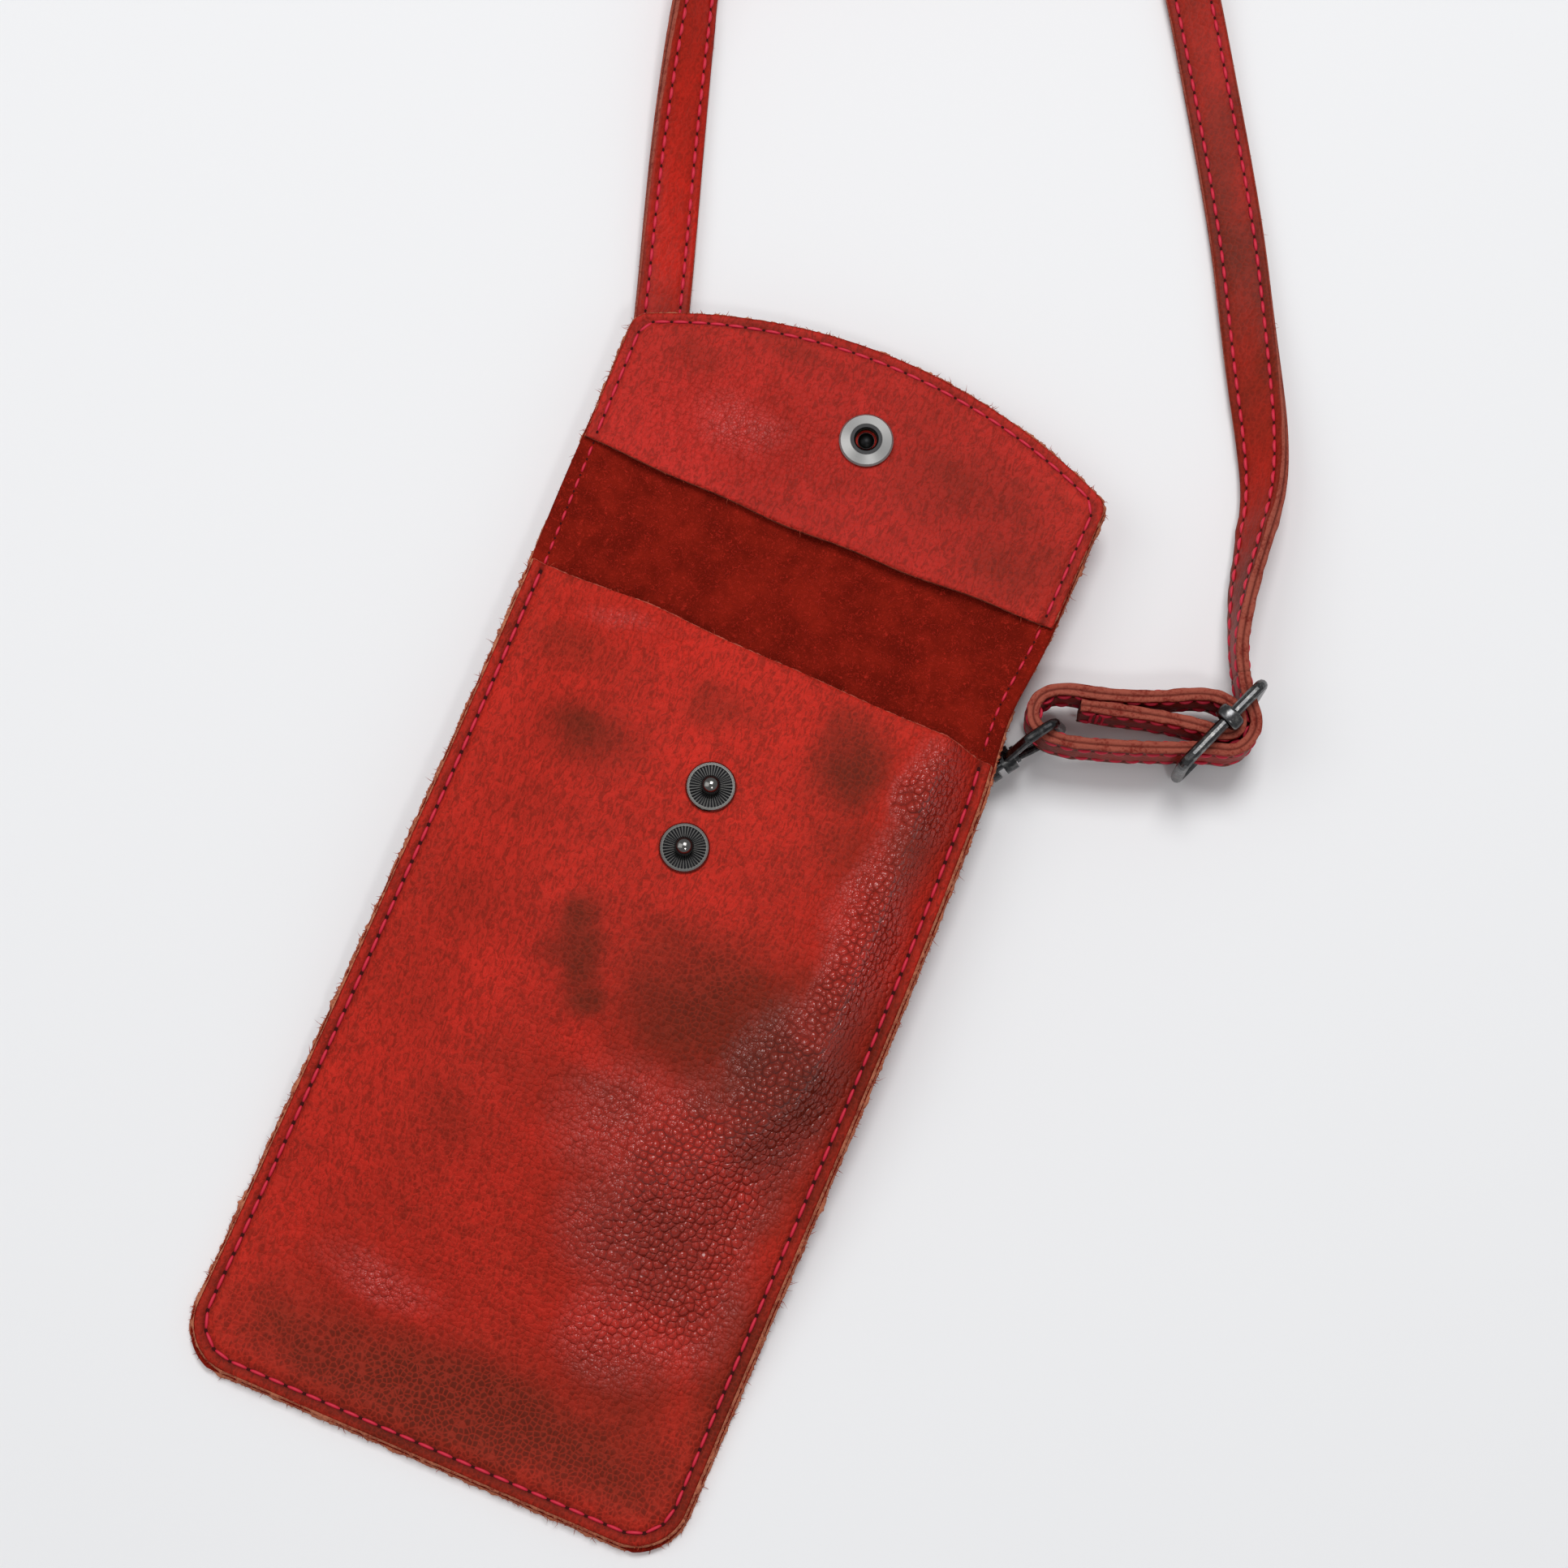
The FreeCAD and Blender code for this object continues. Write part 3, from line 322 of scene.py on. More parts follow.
def node(tree, kind, inputs=None, **settings):
    """Shader node with settings; an input takes a value or another node's socket."""
    made = tree.nodes.new(kind)
    for key, value in settings.items():
        setattr(made, key, value)
    for key, value in (inputs or {}).items():
        if isinstance(value, bpy.types.NodeSocket):
            tree.links.new(value, made.inputs[key])
        else:
            made.inputs[key].default_value = value
    return made


def math_node(tree, operation, *values):
    """Result of one arithmetic step."""
    return node(tree, "ShaderNodeMath", dict(enumerate(values)), operation=operation).outputs[0]


def times(tree, first, second):
    """Product of two values."""
    return math_node(tree, "MULTIPLY", first, second)


def times_plus(tree, value, by, plus):
    """A value scaled, plus another."""
    return math_node(tree, "MULTIPLY_ADD", value, by, plus)


def mix_colour(tree, share, first, second):
    """Two colours mixed."""
    return node(tree, "ShaderNodeMix", {0: share, 6: first, 7: second}, data_type="RGBA").outputs[2]


def mix_value(tree, share, first, second):
    """Two values mixed."""
    return node(tree, "ShaderNodeMix", {0: share, 2: first, 3: second}).outputs[0]


def step_node(tree, value, low, high):
    """Smooth step of a value between two limits."""
    limits = {0: value, 1: low, 2: high}
    return node(tree, "ShaderNodeMapRange", limits, interpolation_type="SMOOTHSTEP").outputs[0]


def noise(tree, place, scale, detail=4.0, rough=0.6, twist=0.0):
    """Cloudy noise value."""
    settings = {"Vector": place, "Scale": scale, "Detail": detail, "Roughness": rough, "Distortion": twist}
    return node(tree, "ShaderNodeTexNoise", settings).outputs["Fac"]


def mark(tree, name):
    """Value stored on the mesh's points."""
    return node(tree, "ShaderNodeAttribute", attribute_name=name).outputs["Fac"]


def group(name, inputs, outputs, build):
    """Node group with typed sockets; build wires its inside."""
    tree = bpy.data.node_groups.new(name, "ShaderNodeTree")
    for key, kind in inputs:
        tree.interface.new_socket(key, in_out="INPUT", socket_type="NodeSocket" + kind)
    for key in outputs:
        tree.interface.new_socket(key, in_out="OUTPUT", socket_type="NodeSocketFloat")
    source = tree.nodes.new("NodeGroupInput")
    sink = tree.nodes.new("NodeGroupOutput")
    for key, socket in build(tree, source.outputs).items():
        tree.links.new(socket, sink.inputs[key])
    return tree


def build_grain(tree, given):
    """Pebbles from two sizes of cells: rounded domes and the lines between them, coarser where marked."""
    place = given["Place"]
    drift = node(tree, "ShaderNodeTexNoise", {"Vector": place, "Scale": 160.0, "Detail": 2.0})
    moved = node(tree, "ShaderNodeMix", {0: 0.0018, 4: place, 5: drift.outputs["Color"]}, data_type="VECTOR")
    domes, lines = [], []
    for scale in (780.0, 600.0):
        cells = {"Vector": moved.outputs[1], "Scale": scale, "Randomness": 0.75}
        edge = node(tree, "ShaderNodeTexVoronoi", cells, feature="DISTANCE_TO_EDGE").outputs["Distance"]
        middle = node(tree, "ShaderNodeTexVoronoi", cells, feature="F1").outputs["Distance"]
        round_top = times_plus(tree, times(tree, middle, middle), -1.7, 0.8)
        domes.append(times_plus(tree, step_node(tree, edge, 0.0, 0.16), 0.2, round_top))
        lines.append(step_node(tree, edge, 0.2, 0.02))
    height = mix_value(tree, given["Coarse"], domes[0], domes[1])
    dust = noise(tree, place, 2600.0, 3.0, 0.5)
    fine = mix_value(tree, step_node(tree, given["Coarse"], 0.0, 0.4), 0.22, 0.02)
    return {"Height": times_plus(tree, dust, fine, height),
            "Line": mix_value(tree, given["Coarse"], lines[0], lines[1])}


def build_dye_and_shade(tree, given):
    """Uneven dye and painted shade: broad clouds, felt-like short slanting streaks, and ragged patches round
    a mark of burnishing and painted shade.
    """
    place, burnish_and_shade_mark = given["Place"], given["Burnish"]
    fine_cloud = noise(tree, place, 210.0, 5.0, 0.65)
    cloud = times_plus(tree, fine_cloud, 0.4, noise(tree, place, 26.0, 5.0))
    ragged = times_plus(tree, math_node(tree, "SUBTRACT", cloud, 0.7), 0.9, burnish_and_shade_mark)
    patch = times(tree, step_node(tree, ragged, 0.0, 1.0), step_node(tree, burnish_and_shade_mark, 0.0, 0.3))
    slant = {"Vector": place, "Rotation": (0, 0, 0.6), "Scale": (1.0, 0.45, 1.0)}
    turned = node(tree, "ShaderNodeMapping", slant)
    felt = step_node(tree, noise(tree, turned.outputs[0], 900.0, 4.0, 0.7, 1.2), 0.58, 0.38)
    return {"Cloud": step_node(tree, cloud, 0.45, 0.95), "Felt": felt, "Patch": patch}


grain_inputs = [("Place", "Vector"), ("Coarse", "Float")]
grain_group = group("pebbled_grain", grain_inputs, ["Height", "Line"], build_grain)
dye_and_shade_inputs = [("Place", "Vector"), ("Burnish", "Float")]
dye_and_shade_group = group("uneven_dye_and_shade", dye_and_shade_inputs, ["Cloud", "Felt", "Patch"], build_dye_and_shade)


def grouped(tree, which, **inputs):
    """Outputs of a node group placed in a material."""
    return node(tree, "ShaderNodeGroup", inputs, node_tree=which).outputs


def material(name, base, rough, specular=0.5):
    """New material with its Principled node and the object's own coordinates."""
    made = bpy.data.materials.new(name)
    made.use_nodes = True
    tree = made.node_tree
    shader = tree.nodes["Principled BSDF"]
    shader.inputs["Base Color"].default_value = (*base, 1)
    shader.inputs["Roughness"].default_value = rough
    shader.inputs["Specular IOR Level"].default_value = specular
    return made, tree, shader, node(tree, "ShaderNodeTexCoord").outputs["Object"]


def bump(tree, shader, height, distance):
    """Relief of a height value, in metres."""
    lift = node(tree, "ShaderNodeBump", {"Strength": 1.0, "Distance": distance, "Height": height})
    tree.links.new(lift.outputs[0], shader.inputs["Normal"])


def shade(colour, share):
    """Colour darkened or lightened by a share, as a shader value."""
    return (*(value * share for value in colour), 1)


RUBBED_RED = (0.50, 0.038, 0.019)
GRAIN_DEEP, NAP_DEEP, FIBRE_DEEP = 0.00042, 0.0003, 0.0004


def leather_material(name, bright, dull, dark, rough=0.6, relief=0.26, felt=0.55):
    """Grain leather: mottled red, brown patches of burnishing and painted shade, pebbles that glint where
    coarse, painted shade in pebble crevices and sunk seams.
    """
    made, tree, shader, place = material(name, bright, rough)
    coarse = mark(tree, "coarse")
    grain = grouped(tree, grain_group, Place=place, Coarse=coarse)
    # The patches are brown spots of burnishing, with painted shade down the right flank.
    dye = grouped(tree, dye_and_shade_group, Place=place, Burnish=mark(tree, "burnish_and_shade"))
    colour = mix_colour(tree, dye["Cloud"], shade(dull, 1), shade(bright, 1))
    colour = mix_colour(tree, dye["Patch"], colour, shade(dark, 1))
    nap_share = times(tree, dye["Felt"], mix_value(tree, coarse, felt, felt * 0.3))
    colour = mix_colour(tree, nap_share, colour, shade(dark, 0.6))
    net = times(tree, mark(tree, "net"), mix_value(tree, coarse, 1.0, 0.15))
    dome = times(tree, step_node(tree, grain["Height"], 0.45, 1.05), net)
    colour = mix_colour(tree, times(tree, dome, 0.32), colour, shade(dark, 0.62))
    line = times(tree, grain["Line"], times_plus(tree, net, 0.32, 0.04))
    colour = mix_colour(tree, line, colour, shade(RUBBED_RED, 1))
    # Painted shade in the crevices between the coarse pebbles.
    crevice_shade = times(tree, grain["Line"], times(tree, coarse, 0.2))
    colour = mix_colour(tree, crevice_shade, colour, shade(dark, 0.35))
    # Painted shade along the sunk seam groove, where the seam mark is set.
    colour = mix_colour(tree, mark(tree, "seam"), colour, shade(dark, 0.3))
    tree.links.new(colour, shader.inputs["Base Color"])
    strength = times_plus(tree, coarse, 1.35, relief)
    bump(tree, shader, times(tree, grain["Height"], strength), GRAIN_DEEP)
    gloss = step_node(tree, coarse, 0.3, 0.85)
    tree.links.new(mix_value(tree, gloss, rough, 0.19), shader.inputs["Roughness"])
    tree.links.new(mix_value(tree, gloss, 0.08, 0.4), shader.inputs["Specular IOR Level"])
    return made


def suede_material():
    """Flesh side of the leather: dark red nap with lighter fibres."""
    made, tree, shader, place = material("suede", (0.13, 0.006, 0.003), 0.95, 0.08)
    nap = noise(tree, place, 1300.0, 5.0, 0.7, 1.5)
    cloud = step_node(tree, noise(tree, place, 120.0), 0.35, 0.7)
    colour = mix_colour(tree, cloud, (0.145, 0.0062, 0.0018, 1), (0.25, 0.0115, 0.0042, 1))
    colour = mix_colour(tree, step_node(tree, nap, 0.5, 0.72), colour, (0.44, 0.022, 0.012, 1))
    tree.links.new(colour, shader.inputs["Base Color"])
    bump(tree, shader, nap, NAP_DEEP)
    return made


def raw_edge_material(name, pale, dark):
    """Cut edge: tan fibres with red dye worked into them."""
    made, tree, shader, place = material(name, pale, 0.9, 0.15)
    strand = noise(tree, place, 1400.0, 4.0, 0.7)
    share = times_plus(tree, noise(tree, place, 260.0, 3.0), 0.8, strand)
    colour = mix_colour(tree, step_node(tree, share, 0.62, 1.0), shade(dark, 1), shade(pale, 1))
    colour = mix_colour(tree, mark(tree, "layer"), colour, shade(dark, 0.4))
    tree.links.new(colour, shader.inputs["Base Color"])
    bump(tree, shader, strand, FIBRE_DEEP)
    return made


def metal_material(name, colour, rough, worn):
    """Plated metal with soft wear."""
    made, tree, shader, place = material(name, colour, rough)
    wear = noise(tree, place, 700.0)
    tint = mix_colour(tree, step_node(tree, wear, 0.45, 0.75), shade(colour, 1), shade(worn, 1))
    tree.links.new(tint, shader.inputs["Base Color"])
    tree.links.new(mix_value(tree, wear, rough * 0.7, rough * 1.3), shader.inputs["Roughness"])
    shader.inputs["Metallic"].default_value = 1.0
    return made


RED, DULL_RED, BROWN = (0.60, 0.0240, 0.0140), (0.42, 0.0200, 0.0110), (0.150, 0.0165, 0.0068)
front_leather = leather_material("front_grain", RED, DULL_RED, BROWN)
facing_leather = leather_material("facing_grain", (0.54, 0.026, 0.019), (0.38, 0.019, 0.012), BROWN,
                                  rough=0.55, relief=0.25, felt=0.5)
strap_leather = leather_material("strap_grain", (0.56, 0.017, 0.009), (0.38, 0.017, 0.009), BROWN,
                                 rough=0.45, relief=0.1, felt=0.35)
suede = suede_material()
raw_edge = raw_edge_material("raw_edge", (0.55, 0.18, 0.095), (0.27, 0.03, 0.016))
mouth_edge = raw_edge_material("mouth_edge", (0.60, 0.14, 0.09), (0.42, 0.03, 0.02))
dark_edge = raw_edge_material("facing_edge", (0.34, 0.07, 0.04), (0.09, 0.007, 0.004))
strap_edge = raw_edge_material("strap_edge", (0.36, 0.085, 0.055), (0.20, 0.022, 0.014))
edge_fibre = material("loose_fibre", (0.40, 0.06, 0.03), 0.85, 0.1)[0]
red_fibre = material("suede_fibre", (0.52, 0.03, 0.02), 0.85, 0.1)[0]
thread = material("thread", (0.60, 0.016, 0.046), 0.5, 0.3)[0]
# Flat dark ovals painted as the shade inside the needle holes.
needle_hole_shade = material("needle_hole_shade", (0.045, 0.005, 0.005), 0.9, 0.1)[0]
gunmetal = metal_material("gunmetal", (0.085, 0.085, 0.087), 0.26, (0.23, 0.225, 0.215))
nickel = metal_material("nickel", (0.36, 0.355, 0.345), 0.38, (0.50, 0.495, 0.485))
black_metal = metal_material("black_nickel", (0.045, 0.045, 0.047), 0.28, (0.12, 0.118, 0.115))
brass = metal_material("spring_brass", (0.50, 0.38, 0.18), 0.3, (0.6, 0.5, 0.3))


def build_dial(tree, given):
    """Radius and ribs round an upright axis: distance from it in millimetres, and a wave along the angle."""
    ends = {0: given["Place"], 1: given["Centre"]}
    away = node(tree, "ShaderNodeVectorMath", ends, operation="SUBTRACT").outputs[0]
    parts = node(tree, "ShaderNodeSeparateXYZ", {0: away}).outputs
    across = times(tree, parts[0], parts[0])
    radius = math_node(tree, "SQRT", times_plus(tree, parts[1], parts[1], across))
    angle = math_node(tree, "ARCTAN2", parts[1], parts[0])
    return {"Radius": times(tree, radius, 1000.0),
            "Wave": math_node(tree, "SINE", times(tree, angle, given["Ribs"]))}


dial_inputs = [("Place", "Vector"), ("Centre", "Vector"), ("Ribs", "Float")]
dial_group = group("dial", dial_inputs, ["Radius", "Wave"], build_dial)


def dial_material(name, at, inner, outer, above, ribs, metal=(0.20, 0.195, 0.185), rough=0.16):
    """Snap face: a ribbed ring of painted shade between two radii round the snap's axis and above a height,
    bare metal beyond, and a knob that domes as the square of the radius."""
    # Dark colour of the sunk ring: painted shade.
    ring_shade, soft = (0.008, 0.008, 0.009), 0.15
    made, tree, shader, place = material(name, metal, rough)
    dial = grouped(tree, dial_group, Place=place, Centre=row([[SNAP_ACROSS, at, 0]])[0], Ribs=ribs)
    radius = dial["Radius"]
    past = step_node(tree, radius, inner - soft, inner + soft)
    within = step_node(tree, radius, outer + soft, outer - soft)
    height = node(tree, "ShaderNodeSeparateXYZ", {0: place}).outputs[2]
    raised = step_node(tree, height, (above - 0.2) * MM, (above + 0.2) * MM)
    ring = times(tree, times(tree, past, within), raised)
    rib = step_node(tree, dial["Wave"], -0.2, 0.8)
    ribbed = mix_colour(tree, rib, shade(ring_shade, 1.0), shade(metal, 0.3))
    tree.links.new(mix_colour(tree, ring, shade(metal, 1), ribbed), shader.inputs["Base Color"])
    tree.links.new(mix_value(tree, ring, rough, 0.4), shader.inputs["Roughness"])
    level = times(tree, times(tree, radius, radius), -0.2)
    bump(tree, shader, math_node(tree, "MAXIMUM", level, -0.7), MM)
    shader.inputs["Metallic"].default_value = 1.0
    return made


upper_dial = dial_material("upper_stud_face", UPPER_STUD, 1.75, 4.95, 0.0, 40.0)
lower_dial = dial_material("lower_stud_face", LOWER_STUD, 1.75, 4.95, 0.0, 40.0)
# On the cap and the socket the ring has no ribs: a dark disc painted as the shade inside the socket's hole.
cap_dial = dial_material("cap_face", SOCKET, -1.0, 2.1, BACK_RISE + LEATHER, 0.0)
socket_dial = dial_material("socket_face", SOCKET, -1.0, 3.75, 0.0, 0.0, (0.42, 0.415, 0.405), 0.38)

METALS = {
    gunmetal: ["slider_frame", "slider_bar"],
    upper_dial: ["upper_stud"],
    lower_dial: ["lower_stud"],
    cap_dial: ["snap_cap"],
    socket_dial: ["snap_socket"],
    nickel: ["upper_stud_back", "lower_stud_back", "gate_pin", "gate_spring"],
    brass: ["socket_spring"],
    black_metal: ["swivel_eye", "hook_body", "hook_gate", "d_ring"],
}
for metal, names in METALS.items():
    for name in names:
        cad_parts[name].data.materials.clear()
        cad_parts[name].data.materials.append(metal)


# Leather sheets

# Darker spots of burnishing, with painted shade down the right flank and a darker band along the bottom; and
# pebbled spots: centre across and along, reach across and along, strength
PATCHES = [(-33, 163, 12, 8, 0.85), (-42, 180, 12, 7, 0.4), (-5, 180, 9, 7, 0.5), (29, 179, 9, 12, 0.95),
           (34, 160, 10, 10, 0.55), (48, 165, 8, 28, 0.6), (-14, 122, 6, 8, 0.95), (-12, 114, 7, 8, 1.1),
           (-8, 107, 8, 7, 1.05), (26, 114, 28, 20, 1.0), (44, 110, 18, 28, 0.72), (-42, 118, 12, 12, 0.35),
           (-25, 72, 11, 9, 0.5), (-44, 92, 10, 16, 0.3), (2, 88, 30, 12, 0.4), (51, 82, 10, 22, 0.55),
           (6, 14, 58, 14, 1.1), (32, 26, 24, 16, 0.65), (-34, 30, 20, 12, 0.25), (56, 42, 10, 36, 0.6),
           (12, 102, 20, 10, 0.5), (24, 68, 30, 26, 0.52), (-45, 256, 10, 6, 0.35), (-24, 268, 14, 4, 0.45),
           (28, 252, 26, 13, 0.5), (12, 262, 10, 6, 0.3), (44, 238, 16, 14, 0.5)]
PEBBLED = [(32, 78, 19, 24, 1.0), (42, 105, 14, 22, 0.95), (46, 140, 10, 34, 0.8), (47, 178, 8, 16, 0.7),
           (-24, 33, 20, 9, 0.5), (30, 42, 18, 16, 0.6), (-34, 190, 16, 5, 0.4), (-26, 246, 18, 10, 0.4),
           (12, 85, 22, 20, 0.5), (38, 60, 17, 26, 0.85), (20, 62, 16, 16, 0.6)]


def spots(x, y, listed):
    """Soft uneven spots: centre, reach across, reach along, strength."""
    moved_x = x + 3 * bumps(x, y, 26, 41, 2)
    moved_y = y + 3 * bumps(x, y, 26, 42, 2)
    total = np.zeros_like(x)
    for px, py, rx, ry, strength in listed:
        total = np.maximum(total, strength * hump(moved_x, px, rx) * hump(moved_y, py, ry))
    return total


def leather_marks(x, y, seam_distance, seam_shade, rim_dark, patches=1.0):
    """Marks for the leather shader: darker spots of burnishing and painted shade, pebble size, and painted
    shade along the seam groove.
    """
    burnish_and_shade_spots = patches * (spots(x, y, PATCHES) + 0.14 * bumps(x, y, 30, 21, 3))
    away = smooth(2, 4.5, seam_distance)
    net = 0.25 + 0.5 * smooth(-40, 40, x - 0.35 * (y - 100))
    net = net + 0.35 * smooth(60, 10, y) - 0.2 * smooth(200, 240, y)
    return {"burnish_and_shade": np.clip(burnish_and_shade_spots + rim_dark * hump(seam_distance, 1.6, 1.5), 0, 1),
            "coarse": np.clip(1.5 * spots(x, y, PEBBLED), 0, 1) * away,
            "net": np.clip(net + 0.25 * bumps(x, y, 45, 23, 2), 0, 1) * (0.4 + 0.6 * away),
            "seam": seam_shade * hump(seam_distance, SEAM, 0.7)}


def sheet_object(name, x, y, top, bottom, materials, marks, first_wall=True, last_wall=True):
    """Sheet between two heights over a grid of places, with walls round it; the first or last row may stay
    open, where another sheet goes on."""
    rows, columns = x.shape
    flat = settled(np.stack([x, y, 0 * x], -1))
    upper, lower = flat.copy(), flat.copy()
    upper[..., 2], lower[..., 2] = top, bottom
    count = rows * columns
    faces = [grid_faces(rows, columns), grid_faces(rows, columns, count, flip=True)]
    index = np.arange(count).reshape(rows, columns)
    runs = [index[:, -1], index[::-1, 0]]
    runs += [index[0, :]] if first_wall else []
    runs += [index[-1, ::-1]] if last_wall else []
    walls = [np.stack([run[:-1], run[:-1] + count, run[1:] + count, run[1:]], -1) for run in runs]
    faces.append(np.concatenate(walls))
    slots = np.concatenate([np.full(len(part), slot) for slot, part in enumerate(faces)])
    doubled = {key: np.tile(np.ravel(value), 2) for key, value in marks.items()}
    verts = np.concatenate([upper.reshape(-1, 3), lower.reshape(-1, 3)])
    return mesh_object(name, verts, np.concatenate(faces), materials, slots, doubled)


def across_shares(count):
    """Shares of the half width, closer together at both edges."""
    even = np.linspace(-1, 1, count)
    return np.sin(even * math.pi / 2) * 0.35 + even * 0.65


def bottom_rows(end, step):
    """Distances up the pouch, closer together round the bottom corners."""
    low = CORNER * (1 - np.cos(np.linspace(0, math.pi / 2, 15)[:-1]))
    return np.concatenate([low, spread(CORNER, end, step)])[:, None]


BACK_LOOKS = [suede, front_leather, raw_edge]


def front_panel():
    """Front panel: rows from the bottom edge to the mouth, columns across."""
    y = bottom_rows(MOUTH, 1.0)
    x = corner_half(y, 0) * across_shares(131)[None, :]
    y = y + (mouth_line(x) - MOUTH) * (y / MOUTH) ** 8
    top = front_top(x, y)
    bottom = np.maximum(top - LEATHER, side_height(y, LEATHER) + LAYER_GAP)
    marks = leather_marks(x, y, edge_distance(x, y), 0.7, 0.32)
    return sheet_object("front_panel_leather", x, y, top, bottom, [front_leather, suede, raw_edge], marks)


def back_lower():
    """Back sheet from the bottom edge to the middle of the fold, a little proud of the front panel."""
    y = bottom_rows(FOLD_MIDDLE, 1.2)
    x = corner_half(y, BACK_PROUD) * across_shares(101)[None, :]
    y = y + 0 * x - BACK_PROUD * smooth(CORNER, 0, y)
    marks = leather_marks(-x, y, edge_distance(x, y), 0.5, 0.3, 0.6)
    return sheet_object("back_leather", x, y, back_top(x, y), back_bottom(x, y), BACK_LOOKS, marks,
                        last_wall=False)


def flap_grid(start, inset, step, columns):
    """Places over the flap between a start line and its arc."""
    share = spread(0, 1, step)[:, None]
    u = across_shares(columns)[None, :]
    side = start + (FLAP_CORNER - inset - start) * share
    y = start + (flap_arc(FLAP_HALF * u, inset) - start) * share
    return round_corners((half_width(side) - inset) * u, y, inset)


def back_upper():
    """Back sheet from the middle of the fold to the arc of the flap."""
    x, y = flap_grid(FOLD_MIDDLE, 0, 1 / 60, 121)
    grown = x * (1 + BACK_PROUD / half_width(y) * smooth(FLAP_CORNER - 12, FOLD_MIDDLE, y))
    marks = leather_marks(-x, y, flap_distance(x, y), 0.5, 0.3, 0.6)
    return sheet_object("flap_leather", grown, y, back_top(x, y), back_bottom(x, y), BACK_LOOKS, marks,
                        first_wall=False)


def facing():
    """Facing on the inside of the flap, with its free edge toward the pouch."""
    x, y = flap_grid(FACING_EDGE, FACING_INSET, 1 / 46, 121)
    far = flap_arc(x, FACING_INSET)
    reach = (far - y) / (far - FACING_EDGE)
    y = y + (facing_edge(x) - FACING_EDGE) * reach ** 3
    top = facing_top(x, y)
    bottom = np.maximum(top - FACING_LEATHER, back_top(x, y) + LAYER_GAP)
    marks = leather_marks(x, y, flap_distance(x, y), 0.45, 0.15)
    return sheet_object("facing_leather", x, y, top, bottom, [facing_leather, suede, dark_edge], marks)


front = front_panel()
back = back_lower()
flap = back_upper()
face = facing()


# Raw edges and loose fibres

RIM_STEP, RIM_INSET, RIM_SUNK = 0.4, 0.3, 0.12
RIM_HAIR, NAP_HAIR, STRAP_HAIR = 0.1, 0.045, 0.06


def hairs(name, roots, headings, lengths, radius, look, seed):
    """Short hairs: three-sided spikes that bend once on the way to the tip."""
    local = np.random.default_rng(seed)
    side = unit(np.cross(headings, local.normal(size=headings.shape)))
    other = np.cross(headings, side)
    angle = np.arange(3) * 2 * math.pi / 3
    across, along = np.cos(angle)[None, :, None], np.sin(angle)[None, :, None]
    ring = radius * (across * side[:, None] + along * other[:, None])
    reach = headings * lengths[:, None]
    base = roots[:, None] - reach[:, None] * 0.2 + ring
    middle = (roots + reach * 0.5)[:, None] + ring * 0.8
    tip = (roots + reach + local.normal(size=roots.shape) * lengths[:, None] * 0.25)[:, None]
    verts = np.concatenate([base, middle, tip], 1).reshape(-1, 3)
    start = 7 * np.arange(len(roots))[:, None]
    faces = np.concatenate([start, start + 2, start + 1], 1).tolist()
    for k in range(3):
        n = (k + 1) % 3
        faces += np.concatenate([start + k, start + n, start + 3 + n, start + 3 + k], 1).tolist()
        faces += np.concatenate([start + 3 + k, start + 3 + n, start + 6], 1).tolist()
    return mesh_object(name, verts, faces, [look])


def rim(name, line, bottom, top, look, seed, proud=0.22, ragged=0.15, hair_every=0.9, slope=0.5):
    """Raw cut edge over the side of a sheet: a strip bulging unevenly outward, and loose fibres on it.
    The outside is on the right of the line."""
    flat = along_line(line, RIM_STEP)
    count = len(flat)
    heading = unit(np.gradient(flat, axis=0))
    outward = np.column_stack([heading[:, 1], -heading[:, 0]])
    inner = flat - outward * RIM_INSET
    low, high = bottom(inner[:, 0], inner[:, 1]), top(inner[:, 0], inner[:, 1])
    shares = np.array([0, 0.1, 0.3, 0.5, 0.7, 0.9, 1])
    local = np.random.default_rng(seed)
    uneven = wobble(count, RIM_STEP, 2.6, seed)[:, None] + wobble(count, RIM_STEP, 0.9, seed + 1)[:, None]
    uneven = uneven + 0.7 * local.normal(size=(count, len(shares)))
    out = proud * np.sin(math.pi * shares) ** 0.5 + ragged * uneven * np.sin(math.pi * shares) - RIM_SUNK
    out = out + slope * (1 - shares)
    place = flat[:, None, :] + outward[:, None, :] * out[:, :, None]
    height = low[:, None] + (high - low)[:, None] * shares
    verts = settled(np.concatenate([place, height[..., None]], -1).reshape(-1, 3))
    strip = mesh_object(name, verts, grid_faces(count, len(shares), flip=True), [look], None,
                        even_marks(len(verts), 0.5))
    hair_count = int(count * RIM_STEP / hair_every)
    chosen = local.integers(2, count - 2, hair_count)
    level = local.uniform(0.15, 0.95, hair_count)
    roots = np.column_stack([flat[chosen] + outward[chosen] * proud * 0.6,
                             low[chosen] + (high - low)[chosen] * level])
    aim = np.column_stack([outward[chosen], 0.3 * local.normal(size=hair_count)])
    aim[:, :2] += heading[chosen] * local.normal(size=(hair_count, 1)) * 0.8
    lengths = 0.3 + local.exponential(0.48, hair_count).clip(0, 1.6)
    fibres = hairs(name + "_fibres", settled(roots), unit(aim), lengths, RIM_HAIR, edge_fibre, seed + 2)
    return [strip, fibres]


def front_bottom(x, y):
    """Lower face of the front panel near its edge."""
    return np.maximum(front_top(x, y) - LEATHER, side_height(y, LEATHER))


def facing_bottom(x, y):
    """Lower face of the facing near its edge."""
    return np.maximum(facing_top(x, y) - FACING_LEATHER, back_top(x, y))


